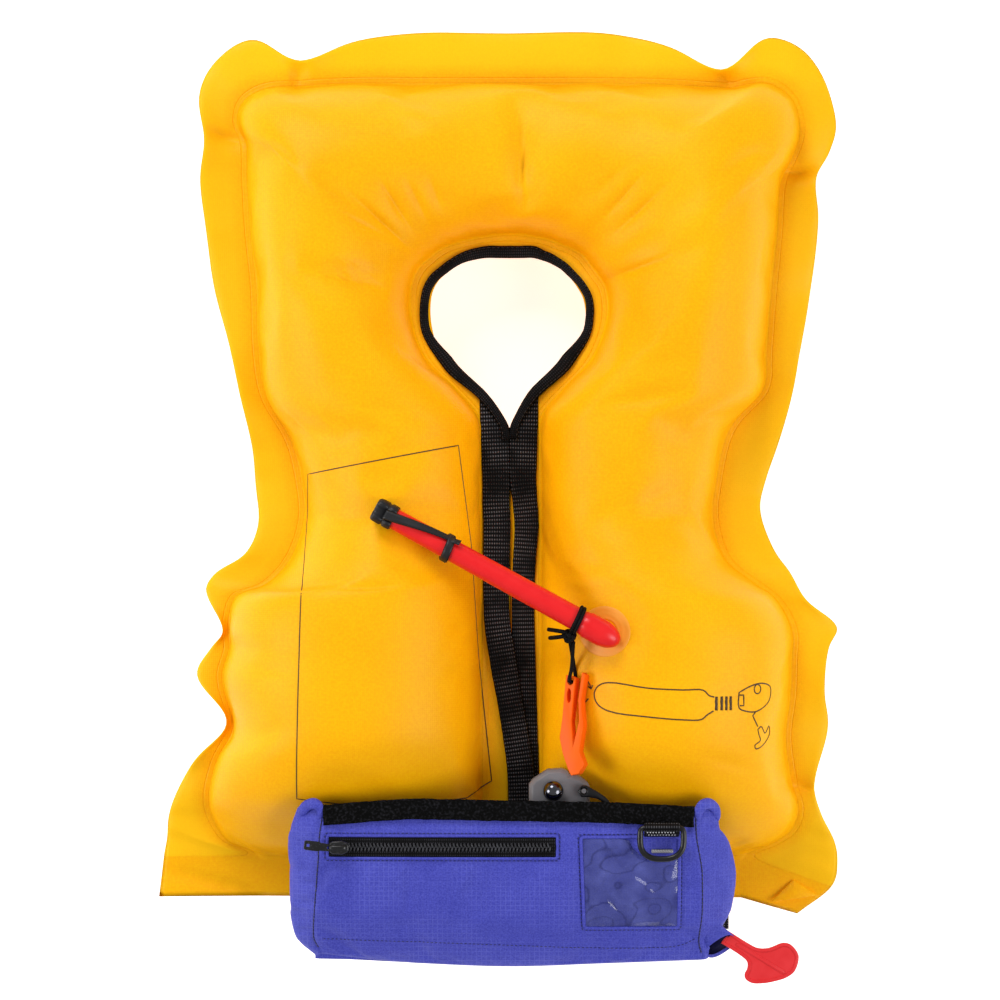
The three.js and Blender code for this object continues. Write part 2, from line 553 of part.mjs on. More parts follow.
// Oral tube: from the port across to the left lobe, with a cap, its tether and the weld disc
const elbow = fromPort(TUBE.radius + 3);
const tubeRun = V(TUBE_AIM[0] - elbow.x, TUBE_AIM[1] - elbow.y, 0);
let tubeRise = -1;
for (let share = 0.3; share <= 1.1; share += 0.05) {
  const under = elbow.clone().addScaledVector(tubeRun, share);
  for (const aside of [-6, 0, 6]) {
    const skin = onBladder(under.x + 0.45 * aside, under.y + 0.9 * aside);
    tubeRise = Math.max(tubeRise, (skin + TUBE.radius + 2.2 - elbow.z) / share / tubeRun.length());
  }
}
const tubeWay = V(tubeRun.x, tubeRun.y, tubeRise * tubeRun.length()).normalize();
const alongTube = (far) => elbow.clone().addScaledVector(tubeWay, far);
const tubeEnd = alongTube(TUBE.long);
const tubeBody = union(bar(alongTube(-TUBE.overhang + 3), tubeEnd, TUBE.radius, 16),
  ball(alongTube(-TUBE.overhang + 3), TUBE.radius * 0.999, 12), bar(fromPort(GAP), elbow, 6.6, 12));
const tubeBore = union(bar(elbow, alongTube(TUBE.long + 5), TUBE.bore, 12), ball(elbow, TUBE.bore, 10),
  bar(fromPort(-3), elbow, 4.4, 12));
add('oral_tube', cut(tubeBody, tubeBore), '#e8222c', 0.4);

const discPoint = (lift) => (u, v) => {
  const radius = THREE.MathUtils.lerp(7.6, 16, v);
  const x = PORT[0] + radius * Math.cos(2 * Math.PI * u);
  const y = PORT[1] + radius * Math.sin(2 * Math.PI * u);
  return V(x, y, onBladder(x, y) + 1.8 * GAP + lift);
};
add('tube_flange', sheet(18, 2, discPoint(0.9), discPoint(0), true), '#f7a23b', 0.5);

// Tube frame: x to the tube's upper flank, y round it, z from the cap back towards the port
const flank = V(0.32, 0.6, 0.74);
const tubeSide = flank.addScaledVector(tubeWay, -flank.dot(tubeWay)).normalize();
const tubeBack = tubeWay.clone().negate();
const tubeFrame = new THREE.Matrix4().makeBasis(tubeSide, tubeBack.clone().cross(tubeSide), tubeBack)
  .setPosition(tubeEnd);
const lobes = new THREE.Shape(Array.from({ length: 48 }, (_, k) => {
  const angle = (2 * Math.PI * k) / 48;
  const radius = 7.4 + 1.1 * Math.tanh(3 * Math.cos(4 * angle));
  return new THREE.Vector2(radius * Math.cos(angle), radius * Math.sin(angle));
}));
const capHead = new THREE.ExtrudeGeometry(lobes, { depth: 12, bevelEnabled: false })
  .translate(0, 0, -12 - GAP);
const capPlug = bar(V(0, 0, -6), V(0, 0, 9), TUBE.bore - GAP, 16);
add('tube_cap', union(capHead, capPlug).applyMatrix4(tubeFrame), '#1b1b20', 0.5);
const ringRoom = TUBE.radius + GAP;
const tetherRing = cut(bar(V(0, 0, RING_FROM_CAP - 3.5), V(0, 0, RING_FROM_CAP + 3.5), ringRoom + 1.5, 24),
  bar(V(0, 0, RING_FROM_CAP - 9), V(0, 0, RING_FROM_CAP + 9), ringRoom, 24));
const tetherStrap = block(ringRoom, ringRoom + 1.5, -3, 3, GAP, RING_FROM_CAP + 3.5);
add('cap_tether', union(tetherRing, tetherStrap).applyMatrix4(tubeFrame), '#1f1f24', 0.6);

// Inflator in the pouch's mouth: body on its stem, cap nut, and the lever that the handle's cord pulls
const bodyOutline = [[12, 76.5], [14.5, 80], [24, 86.2], [36, 86.6], [45, 81.5], [51, 76], [51, 56],
  [46, 50.5], [16, 50.5], [12, 56]];
const bodySkin = bodyOutline.map(([x, y]) => onBladder(x, y)).concat(onBladder(32, 70), onBladder(44, 66));
const bodyZ = Math.max(...bodySkin) + 2 * GAP;
const BODY_TALL = 17;
const bodyTop = bodyZ + BODY_TALL;
const leverPin = V(LEVER_PIN[0], LEVER_PIN[1], bodyTop - 1);
const bodyPlate = plate(bodyOutline, BODY_TALL, 2.4).translate(0, 0, bodyZ);
const leverPost = bar(leverPin, leverPin.clone().setZ(bodyTop + 5), 1.7, 16);
const inflator = add('inflator_body', union(bodyPlate, leverPost), '#8b8b8f', 0.5, 0.2);
const stemRing = Array.from({ length: 8 }, (_, k) => onBladder(NUT_AT[0] + 6 * Math.cos(k * Math.PI / 4),
  NUT_AT[1] + 6 * Math.sin(k * Math.PI / 4)));
const stemFoot = Math.max(...stemRing) + 2 * GAP;
add('inflator_stem', bar(V(...NUT_AT, stemFoot), V(...NUT_AT, bodyZ - GAP), 6, 20), '#3a3a3d', 0.5);
const nutFoot = V(...NUT_AT, bodyTop + GAP);
const nut = union(bar(nutFoot, nutFoot.clone().add(V(0, 0, 4)), 6.6, 6),
  ball(nutFoot.clone().add(V(0, 0, 3)), 6, 12));
const nutBase = block(0, 60, 40, 100, nutFoot.z - 20, nutFoot.z);
add('cap_nut', cut(nut, nutBase), '#c9c9cf', 0.15, 1);
const leverReach = 21;
const leverOutline = [[-3.4, -1.4], [2, 3.2], [10, 2.6], [leverReach, -1.6], [leverReach - 1, -5],
  [10, -1.8], [2, -3.2]];
const leverArm = plate(leverOutline, 4).rotateZ(THREE.MathUtils.degToRad(-22));
const leverBase = V(LEVER_PIN[0], LEVER_PIN[1], bodyTop + GAP);
const leverEye = bar(V(0, 0, 0), V(0, 0, 4), 4, 20);
const lever = cut(union(leverArm, leverEye), bar(V(0, 0, -3), V(0, 0, 9), 1.7 + GAP, 16));
add('inflator_lever', lever.translate(leverBase.x, leverBase.y, leverBase.z), '#1b1c20', 0.4);

// Whistle: two bars joined at the mouthpiece, with an eye for the lanyard
const whistleLeft = [[-3.8, 0], [-6.4, -27], [-8.3, -40], [-2.6, -60], [-0.6, -64], [4.5, -63], [8.3, -57]];
const whistleRight = [[5.1, -48.6], [7.7, -32], [6.4, -16], [9.2, -0.4], [7, 1.3]];
const whistleSlit = [[4.4, -16], [5, -29.4], [0.6, -46.7], [-0.4, -29.4], [1, -16], [2.6, -2]];
const whistleOutline = new THREE.Shape([...whistleLeft, ...whistleRight, ...whistleSlit]
  .map(([x, y]) => new THREE.Vector2(x, y)));
whistleOutline.holes.push(new THREE.Path().absarc(-0.9, -4.4, 2, 0, 2 * Math.PI, true));
const WHISTLE_DEEP = 8;
const whistleShape = new THREE.ExtrudeGeometry(whistleOutline,
  { depth: WHISTLE_DEEP, bevelEnabled: false, curveSegments: 6 });
const whistleTurn = new THREE.Euler(THREE.MathUtils.degToRad(-4), THREE.MathUtils.degToRad(-22), 0);
const onInflator = heightOf(inflator);
whistleShape.applyQuaternion(new THREE.Quaternion().setFromEuler(whistleTurn));
whistleShape.translate(WHISTLE_TOP[0], WHISTLE_TOP[1], 0);
const whistleAt = whistleShape.getAttribute('position');
let whistleLift = 0;
for (let k = 0; k < whistleAt.count; k++) {
  const [x, y] = [whistleAt.getX(k), whistleAt.getY(k)];
  const skin = Math.max(onBladder(x, y), onInflator(x, y));
  whistleLift = Math.max(whistleLift, skin + 3 * GAP - whistleAt.getZ(k));
}
const whistleMatrix = new THREE.Matrix4().makeRotationFromEuler(whistleTurn)
  .setPosition(WHISTLE_TOP[0], WHISTLE_TOP[1], whistleLift);
add('whistle', whistleShape.translate(0, 0, whistleLift), '#ff6a1c', 0.45);

// Lanyard: a knotted wrap on the tube, and the loop from the knot through the whistle's eye
const wrapAt = alongTube(LANYARD_FROM_PORT);
const wrapFrame = new THREE.Matrix4().makeBasis(tubeSide, tubeBack.clone().cross(tubeSide), tubeBack);
const wrapRadius = TUBE.radius + 1.5 * GAP + CORD / 2;
const wraps = [-1.1, 1.1].map((far) => new THREE.TorusGeometry(wrapRadius, CORD / 2, 6, 16)
  .translate(0, 0, far).applyMatrix4(wrapFrame).translate(wrapAt.x, wrapAt.y, wrapAt.z));
const down = V(-0.42, -0.86, -0.3).normalize();
const knotAt = wrapAt.clone().addScaledVector(down, TUBE.radius + GAP + 3.2);
const tails = [[-14.5, 3], [-13.5, -2.5]].map(([x, y]) => {
  const end = V(knotAt.x + x, knotAt.y + y, 0);
  end.z = onBladder(end.x, end.y) + CORD / 2 + 4;
  return bar(knotAt, end, CORD / 2, 6);
});
add('lanyard_knot', union(...wraps, ball(knotAt, 3.1, 8), ...tails), '#121214', 0.9);
const inWhistle = (x, y, z) => V(x, y, z).applyMatrix4(whistleMatrix);
const hang = (x) => knotAt.clone().add(V(x, -3.1 - CORD / 2, 0));
const lanyardTop = [inWhistle(1.2, 3.5, WHISTLE_DEEP + 2.6), inWhistle(-0.9, -3.6, WHISTLE_DEEP + 2)];
const lanyardEye = [1, 0.5, 0].map((share) => inWhistle(-0.9, -4.4, share * WHISTLE_DEEP));
const lanyardBack = [inWhistle(-1, -3, -1.5), inWhistle(-1.4, 3, -1.6), hang(-1.6)];
const lanyardRoute = [hang(2), ...lanyardTop, ...lanyardEye, ...lanyardBack];
add('whistle_lanyard', cord(lanyardRoute, CORD, 20), '#121214', 0.9);

// Pull handle: a flat T whose stem sits in the cloth tunnel at the pouch's corner
const handleUpper = [[0, 4.6], [15, 4.3], [22, 4.9], [28, 8.5], [34, 15.9], [38.4, 17.7], [44, 16.4]];
const handleLower = [[47.7, 13.5], [50.1, 4.4], [47.6, -2], [42.9, -7.4], [37, -12.6], [30.3, -16.4],
  [25.4, -16.2], [23.4, -13.8], [22.9, -9.6], [20.6, -6.2], [15, -5], [0, -4.6]];
const handleOutline = [...handleUpper, ...handleLower];
const handleTurn = THREE.MathUtils.degToRad(HANDLE.turn);
const handlePlate = plate(handleOutline, HANDLE.thick, 0.5);
const handleRib = block(16, 44, -1.8, 1.8, HANDLE.thick - 0.2, HANDLE.thick + 0.6);
const handle = union(handlePlate, handleRib).translate(0, 0, -HANDLE.thick / 2).rotateZ(handleTurn);
add('pull_handle', handle.translate(HANDLE.x, HANDLE.y, HANDLE.z), '#dd2f33', 0.4);
const tunnelHalf = [8.5, HANDLE.thick / 2 + GAP + 1.2];
const tunnelWall = [[-1, -1], [1, -1], [1, 1], [-1, 1]]
  .map(([a, b]) => [a * tunnelHalf[0], b * tunnelHalf[1]]);
const tunnelTurn = new THREE.Matrix4().makeRotationZ(handleTurn).setPosition(HANDLE.x, HANDLE.y, HANDLE.z);
const tunnelAt = (from, to, grow) => sweep(
  tunnelWall.map(([a, b]) => [a + Math.sign(a) * grow, b + Math.sign(b) * grow]),
  [from, to].map((x) => ({ at: V(x, 0, 0), across: V(0, 1, 0), up: UP })));
const tunnel = cut(tunnelAt(-4, 7, 0), tunnelAt(-12, 12, -1.2)).applyMatrix4(tunnelTurn);
add('handle_tunnel', tunnel, '#433da8', 0.8);

// The origin goes to the middle of the bounding box's underside
const size = new THREE.Box3().setFromObject(pack);
const middle = size.getCenter(V());
pack.position.set(-middle.x, -middle.y, -size.min.z);

export default pack;
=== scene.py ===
# %% [markdown]
# # Inflatable belt pack
# A waist pouch whose air bladder has been blown up, lying on its back and seen from straight above.
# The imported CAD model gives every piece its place. This lesson builds the soft goods and the small
# hardware around it, one piece at a time, and each piece rides on the CAD body that carries it.

# %% Load the frame
import json
import math
import bmesh
import bpy
from mathutils import Matrix, Vector, noise
from mathutils.bvhtree import BVHTree

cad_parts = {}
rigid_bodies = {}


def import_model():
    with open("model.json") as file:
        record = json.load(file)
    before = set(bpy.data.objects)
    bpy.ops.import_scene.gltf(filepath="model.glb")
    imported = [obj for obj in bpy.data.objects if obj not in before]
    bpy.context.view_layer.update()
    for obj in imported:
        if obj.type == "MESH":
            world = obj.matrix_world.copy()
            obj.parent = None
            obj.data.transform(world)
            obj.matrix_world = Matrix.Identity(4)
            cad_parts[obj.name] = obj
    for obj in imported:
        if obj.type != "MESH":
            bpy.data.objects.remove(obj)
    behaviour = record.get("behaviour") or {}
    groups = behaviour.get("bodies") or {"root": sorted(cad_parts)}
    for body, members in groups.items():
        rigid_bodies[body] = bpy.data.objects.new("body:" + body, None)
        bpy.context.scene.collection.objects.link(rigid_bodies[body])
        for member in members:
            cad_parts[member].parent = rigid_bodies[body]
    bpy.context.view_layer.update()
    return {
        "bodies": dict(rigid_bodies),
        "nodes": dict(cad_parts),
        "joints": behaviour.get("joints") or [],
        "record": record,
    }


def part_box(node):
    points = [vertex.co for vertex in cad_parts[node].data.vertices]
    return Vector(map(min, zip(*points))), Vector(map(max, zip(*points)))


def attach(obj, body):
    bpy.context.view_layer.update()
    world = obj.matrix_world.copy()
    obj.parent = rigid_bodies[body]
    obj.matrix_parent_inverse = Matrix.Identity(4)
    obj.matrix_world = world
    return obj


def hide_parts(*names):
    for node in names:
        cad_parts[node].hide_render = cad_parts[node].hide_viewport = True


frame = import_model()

nodes = frame["nodes"]
MM = 0.001
cad = {name: BVHTree.FromObject(node, bpy.context.evaluated_depsgraph_get())
       for name, node in nodes.items()}  # surfaces to measure on

# %% [markdown]
# ## Camera
# The picture is taken from straight above, from far away: pieces near the camera are only a little
# larger than the flange below them. A long lens gives the same flat view. The frame is 1000 pixels
# square, and 650 mm wide at the height of the bladder's flange.

# %% Camera
CAMERA_AT = (1.1, 2.5)
CAMERA_HEIGHT = 2780
FLANGE_HEIGHT = 58
FRAME_WIDTH = 650
SENSOR = 36

camera = bpy.data.objects.new("camera", bpy.data.cameras.new("camera"))
bpy.context.scene.collection.objects.link(camera)
camera.location = (CAMERA_AT[0] * MM, CAMERA_AT[1] * MM, CAMERA_HEIGHT * MM)
camera.data.sensor_width = SENSOR
camera.data.lens = SENSOR * (CAMERA_HEIGHT - FLANGE_HEIGHT) / FRAME_WIDTH
camera.data.clip_end = 20
bpy.context.scene.camera = camera
print("lens, mm:", round(camera.data.lens, 1))

# %% [markdown]
# ## Floor and light
# A white table and soft light from all round, with a broad lamp towards the collar and one on each side.
# Broad lamps give cloth its slow highlights, and the even sky keeps the shade in the folds warm.

# %% Floor and light
world = bpy.data.worlds.new("studio")
bpy.context.scene.world = world
world.use_nodes = True
sky = world.node_tree.nodes["Background"]
sky.inputs["Color"].default_value = (1, 1, 1, 1)
sky.inputs["Strength"].default_value = 0.4

LAMPS = [  # name, place in metres, width in metres, watts
    ("lamp_collar", (-0.6, 1.6, 1.3), 1.0, 21),
    ("lamp_left", (-1.6, -0.2, 1.1), 0.9, 15),
    ("lamp_right", (1.5, -0.5, 1.3), 1.2, 20),
]
for name, place, wide, watts in LAMPS:
    lamp = bpy.data.lights.new(name, "AREA")
    lamp.shape = "DISK"
    lamp.size = wide
    lamp.energy = watts
    lamp_object = bpy.data.objects.new(name, lamp)
    bpy.context.scene.collection.objects.link(lamp_object)
    lamp_object.location = place
    lamp_object.rotation_euler = (-Vector(place)).to_track_quat("-Z", "Y").to_euler()

floor_mesh = bpy.data.meshes.new("floor")
shape = bmesh.new()
bmesh.ops.create_grid(shape, x_segments=1, y_segments=1, size=6)
shape.to_mesh(floor_mesh)
shape.free()
floor = bpy.data.objects.new("floor", floor_mesh)
bpy.context.scene.collection.objects.link(floor)
print("lamps:", [name for name, *_ in LAMPS])

# %% [markdown]
# ## Material helpers
# A colour is easiest to read as the hex value of a paint chart, but Blender works in linear light, so
# one function turns it round. One more function adds a node: it takes the node's settings and what goes
# into its sockets, and a socket can be given a number, a colour or another node.
# Patterns are sized in millimetres: a wave texture repeats every 2 pi / 20 of its scale, and a noise
# texture about once.

# %% Material helpers
def linear(hex_colour):
    """An sRGB hex value as linear RGBA."""
    channels = [int(hex_colour[k:k + 2], 16) / 255 for k in (1, 3, 5)]
    return [c / 12.92 if c <= 0.04045 else ((c + 0.055) / 1.055) ** 2.4 for c in channels] + [1]


def put(tree, kind, sockets=None, **settings):
    """Adds one node with its settings, its values and its links."""
    node = tree.nodes.new(kind)
    for name, value in settings.items():
        setattr(node, name, value)
    for name, value in (sockets or {}).items():
        if isinstance(value, bpy.types.Node):
            value = value.outputs[0]
        if isinstance(value, bpy.types.NodeSocket):
            tree.links.new(value, node.inputs[name])
        else:
            node.inputs[name].default_value = value
    return node


def finish_of(name):
    """A new material with its node tree and its shader."""
    material = bpy.data.materials.new(name)
    material.use_nodes = True
    return material, material.node_tree, material.node_tree.nodes["Principled BSDF"]


def every(spacing_mm):
    """Scale of a wave texture with one thread each so many millimetres."""
    return 2 * math.pi / (20 * spacing_mm * MM)


def grains(size_mm):
    """Scale of a noise texture with grains of that size."""
    return 1 / (size_mm * MM)


bpy.context.scene.view_settings.view_transform = "Standard"
table_white, tree, shader = finish_of("white table")
spot = put(tree, "ShaderNodeTexCoord").outputs["Object"]
dust = put(tree, "ShaderNodeTexNoise", {"Vector": spot, "Scale": grains(300)})
tone = put(tree, "ShaderNodeMix", {0: dust, 6: linear("#F7F7F7"), 7: linear("#FDFDFD")}, data_type="RGBA")
tree.links.new(tone.outputs[2], shader.inputs["Base Color"])
shader.inputs["Roughness"].default_value = 0.9
shader.inputs["Emission Color"].default_value = linear("#FFFFFF")
shader.inputs["Emission Strength"].default_value = 0.65
floor.data.materials.append(table_white)
print("helpers ready")

# %% [markdown]
# ## Coated nylon
# The bladder is nylon cloth with a urethane coat, so that its edges can be welded. The coat gives a
# satin shine, the threads under it a fine speckle, and the weld a pair of pressed lines. The cloth was
# cut flat, so the weave lies on Object coordinates seen from above. Real threads are 0.4 mm apart, too
# fine for the render, so they are drawn 1.3 mm apart. The attribute "weld" is each point's distance
# from the weld in millimetres: a ramp presses the two lines there, and further out, on the loose flange
# and on the inner seam by the neck and the slit, the colour is painted lighter. That is painted light: it
# stands for the light that the loose film lets through, and lifts the shade the swollen body casts there.

# %% Coated nylon
nylon, tree, shader = finish_of("urethane coated nylon")
spot = put(tree, "ShaderNodeTexCoord").outputs["Object"]
clouds = put(tree, "ShaderNodeTexNoise", {"Vector": spot, "Scale": grains(70), "Detail": 3})
weave = [put(tree, "ShaderNodeTexWave", {"Vector": spot, "Scale": every(1.3), "Distortion": 0.6},
             bands_direction=axis) for axis in "XY"]
threads = put(tree, "ShaderNodeMath", {0: weave[0], 1: weave[1]}, operation="ADD")
grain = put(tree, "ShaderNodeTexNoise", {"Vector": spot, "Scale": grains(1.6), "Detail": 2})
speckle = put(tree, "ShaderNodeMapRange", {0: grain, 1: 0.3, 2: 0.7, 3: -0.3, 4: 0.3})
ground = put(tree, "ShaderNodeMath", {0: clouds, 1: speckle}, operation="ADD")
shade = put(tree, "ShaderNodeMath", {0: threads, 1: 0.09, 2: ground}, operation="MULTIPLY_ADD")
tone = put(tree, "ShaderNodeMix", {0: shade, 6: linear("#F6A400"), 7: linear("#FDBA04")},
           data_type="RGBA")
weld = put(tree, "ShaderNodeAttribute", attribute_name="weld").outputs["Fac"]
# painted light: lighter colour on the flange and the inner seam, for light through the film and against the
# body's shade
flange = put(tree, "ShaderNodeMapRange", {0: weld, 1: 4, 2: 14, 3: 0, 4: 0.55})
painted_light_tone = put(tree, "ShaderNodeMix", {0: flange, 6: tone.outputs[2], 7: linear("#FFCA12")}, data_type="RGBA")
tree.links.new(painted_light_tone.outputs[2], shader.inputs["Base Color"])
gloss = put(tree, "ShaderNodeMapRange", {0: clouds, 3: 0.36, 4: 0.5})
tree.links.new(gloss.outputs[0], shader.inputs["Roughness"])
shader.inputs["Specular IOR Level"].default_value = 0.13
across = put(tree, "ShaderNodeMapRange", {0: weld, 1: -2, 2: 8})
lines = put(tree, "ShaderNodeValToRGB", {0: across})
WELD_LINES = [(0.0, 1), (0.25, 1), (0.31, 0), (0.37, 0.9), (0.6, 0.9), (0.66, 0), (0.72, 1)]
while len(lines.color_ramp.elements) < len(WELD_LINES):
    lines.color_ramp.elements.new(1)
for element, (place, height) in zip(lines.color_ramp.elements, WELD_LINES):
    element.position = place
    element.color = (height, height, height, 1)
pressed = put(tree, "ShaderNodeBump", {"Height": lines, "Distance": 0.5 * MM, "Strength": 0.55})
crinkle = put(tree, "ShaderNodeTexNoise", {"Vector": spot, "Scale": grains(9), "Detail": 2})
crinkled = put(tree, "ShaderNodeBump",
               {"Height": crinkle, "Distance": 0.5 * MM, "Strength": 0.35, "Normal": pressed})
woven = put(tree, "ShaderNodeBump",
            {"Height": threads, "Distance": 0.1 * MM, "Strength": 0.35, "Normal": crinkled})
tree.links.new(woven.outputs[0], shader.inputs["Normal"])
print(nylon.name)

# %% [markdown]
# ## Webbing, tape and cord
# Straps, belt, binding and cord are black polyester. Webbing has raised picks across it whose crests
# catch the light as dots; the binding tape has fine ribs across it; the cord is braided. The crests of
# all three are painted lighter than the black between them, a painted highlight that follows the relief.
# The weave has to follow each strip, so it reads the strip's own UV map, laid out in metres: x across, y
# along.

# %% Webbing, tape and cord
def strip_cloth(name, dark, light, pick_mm, rib_mm, depth_mm, lean):
    """Black narrow cloth: picks every pick_mm along it, over ribs of rib_mm; lean slants the picks."""
    material, tree, shader = finish_of(name)
    strip = put(tree, "ShaderNodeUVMap", uv_map="strip")
    parts = put(tree, "ShaderNodeSeparateXYZ", {0: strip})
    zigzag = put(tree, "ShaderNodeMath", {0: parts.outputs[0], 1: rib_mm * MM}, operation="PINGPONG")
    along = put(tree, "ShaderNodeMath", {0: zigzag, 1: lean, 2: parts.outputs[1]}, operation="MULTIPLY_ADD")
    place = put(tree, "ShaderNodeCombineXYZ", {0: parts.outputs[0], 1: along})
    picks = put(tree, "ShaderNodeTexWave", {"Vector": place, "Scale": every(pick_mm)}, bands_direction="Y")
    ribs = put(tree, "ShaderNodeTexWave", {"Vector": strip, "Scale": every(rib_mm)}, bands_direction="X")
    raised = put(tree, "ShaderNodeMath", {0: picks, 1: 2}, operation="POWER")
    dots = put(tree, "ShaderNodeMapRange", {0: ribs, 1: 0.25, 2: 0.85, 3: 0.05, 4: 1})
    weave = put(tree, "ShaderNodeMath", {0: raised, 1: dots}, operation="MULTIPLY")
    fluff = put(tree, "ShaderNodeTexNoise", {"Vector": strip, "Scale": grains(24), "Detail": 5})
    sheen = put(tree, "ShaderNodeMapRange", {0: fluff, 1: 0.38, 2: 0.62, 3: 0.15, 4: 1})
    # painted highlight: the colour goes from dark to light on the crests of the picks, dotted by the ribs
    shade = put(tree, "ShaderNodeMath", {0: weave, 1: sheen}, operation="MULTIPLY")
    tone = put(tree, "ShaderNodeMix", {0: shade, 6: linear(dark), 7: linear(light)}, data_type="RGBA")
    tree.links.new(tone.outputs[2], shader.inputs["Base Color"])
    relief = put(tree, "ShaderNodeBump", {"Height": weave, "Distance": depth_mm * MM, "Strength": 0.9})
    tree.links.new(relief.outputs[0], shader.inputs["Normal"])
    shader.inputs["Roughness"].default_value = 0.6
    shader.inputs["Specular IOR Level"].default_value = 0.1
    return material


webbing = strip_cloth("woven polyester webbing", "#020203", "#76767C", 2.6, 1.6, 0.5, 0)
binding_tape = strip_cloth("ribbed binding tape", "#030304", "#3C3C42", 1.4, 2.0, 0.3, 0)
braid = strip_cloth("braided cord", "#040405", "#38383C", 1.3, 1.1, 0.35, 1)
print(webbing.name, binding_tape.name, braid.name)

# %% [markdown]
# ## Ripstop
# The pouch is ripstop nylon: a plain blue weave with a stronger thread every few millimetres each way,
# which shows here and there as a faint grid. Its threads are uneven, and that gives it a soft grain.
# Real threads are about 0.3 mm apart, too fine for the render, so they are drawn 1.15 mm apart.

# %% Ripstop
ripstop, tree, shader = finish_of("ripstop nylon")
spot = put(tree, "ShaderNodeTexCoord").outputs["Object"]
GRID = 3.1
grid = [put(tree, "ShaderNodeTexWave", {"Vector": spot, "Scale": every(GRID), "Distortion": 0.25,
                                        "Detail Scale": 2}, bands_direction=axis) for axis in "XY"]
cords = put(tree, "ShaderNodeMath", {0: grid[0], 1: grid[1]}, operation="MAXIMUM")
strong = put(tree, "ShaderNodeMapRange", {0: cords, 1: 0.9, 2: 1.0})
fine = [put(tree, "ShaderNodeTexWave", {"Vector": spot, "Scale": every(1.15)}, bands_direction=axis)
        for axis in "XY"]
threads = put(tree, "ShaderNodeMath", {0: fine[0], 1: fine[1]}, operation="MULTIPLY")
clouds = put(tree, "ShaderNodeTexNoise", {"Vector": spot, "Scale": grains(26), "Detail": 4})
slubs = put(tree, "ShaderNodeTexNoise", {"Vector": spot, "Scale": grains(1), "Detail": 2})
thick = put(tree, "ShaderNodeMapRange", {0: slubs, 1: 0.25, 2: 0.75})
uneven = put(tree, "ShaderNodeMix", {0: 0.66, 2: clouds, 3: thick})
worn = put(tree, "ShaderNodeMix", {0: uneven, 6: linear("#2A2E95"), 7: linear("#555AC6")},
           data_type="RGBA")
faded = put(tree, "ShaderNodeMapRange", {0: clouds, 1: 0.4, 2: 0.65, 3: 0.06, 4: 0.42})
lifted = put(tree, "ShaderNodeMath", {0: strong, 1: faded}, operation="MULTIPLY")
tone = put(tree, "ShaderNodeMix", {0: lifted, 6: worn.outputs[2], 7: linear("#686CCB")},
           data_type="RGBA")
tree.links.new(tone.outputs[2], shader.inputs["Base Color"])
shader.inputs["Roughness"].default_value = 0.6
shader.inputs["Specular IOR Level"].default_value = 0.22
height = put(tree, "ShaderNodeMath", {0: threads, 1: 0.5, 2: strong}, operation="MULTIPLY_ADD")
relief = put(tree, "ShaderNodeBump", {"Height": height, "Distance": 0.16 * MM, "Strength": 0.6})
tree.links.new(relief.outputs[0], shader.inputs["Normal"])
print(ripstop.name)

# %% [markdown]
# ## Hook tape
# The closure along the pouch's mouth is loop tape, a felt of tiny black loops. Two sizes of noise give
# the felt its tufts, and its colour is lighter in specks where the tufts stand highest.

# %% Hook tape
loop_tape, tree, shader = finish_of("black loop tape")
spot = put(tree, "ShaderNodeTexCoord").outputs["Object"]
tufts = put(tree, "ShaderNodeTexNoise", {"Vector": spot, "Scale": grains(1.6), "Detail": 4})
# the colour is lighter where the tuft noise, which also raises the bump, is highest
lighter_tuft_tops = put(tree, "ShaderNodeMapRange", {0: tufts, 1: 0.5, 2: 0.75})
tone = put(tree, "ShaderNodeMix", {0: lighter_tuft_tops, 6: linear("#030303"), 7: linear("#222226")},
           data_type="RGBA")
tree.links.new(tone.outputs[2], shader.inputs["Base Color"])
shader.inputs["Roughness"].default_value = 0.95
shader.inputs["Specular IOR Level"].default_value = 0.1
relief = put(tree, "ShaderNodeBump", {"Height": tufts, "Distance": 1.2 * MM})
tree.links.new(relief.outputs[0], shader.inputs["Normal"])
print(loop_tape.name)

# %% [markdown]
# ## Moulded plastics and rubber
# Tube, whistle, handle, lever, ring and caps come out of moulds. A moulded face has a faint orange peel,
# a little cloudiness in its colour, and shines more where it is handled. One function makes them all,
# from two shades, a roughness and the size of the grain.

# %% Moulded plastics and rubber
def moulded(name, dark, light, rough, grain_mm, depth_mm, soft=0.0, shine=0.4):
    """A moulded plastic or rubber between two shades."""
    material, tree, shader = finish_of(name)
    spot = put(tree, "ShaderNodeTexCoord").outputs["Object"]
    clouds = put(tree, "ShaderNodeTexNoise", {"Vector": spot, "Scale": grains(9), "Detail": 3})
    tone = put(tree, "ShaderNodeMix", {0: clouds, 6: linear(dark), 7: linear(light)}, data_type="RGBA")
    tree.links.new(tone.outputs[2], shader.inputs["Base Color"])
    handled = put(tree, "ShaderNodeMapRange", {0: clouds, 3: rough - 0.06, 4: rough + 0.08})
    tree.links.new(handled.outputs[0], shader.inputs["Roughness"])
    peel = put(tree, "ShaderNodeTexNoise", {"Vector": spot, "Scale": grains(grain_mm), "Detail": 2})
    relief = put(tree, "ShaderNodeBump", {"Height": peel, "Distance": depth_mm * MM, "Strength": 0.5})
    tree.links.new(relief.outputs[0], shader.inputs["Normal"])
    shader.inputs["Specular IOR Level"].default_value = shine
    shader.inputs["Subsurface Weight"].default_value = soft
    shader.inputs["Subsurface Radius"].default_value = (3 * MM, 1 * MM, 1 * MM)
    return material


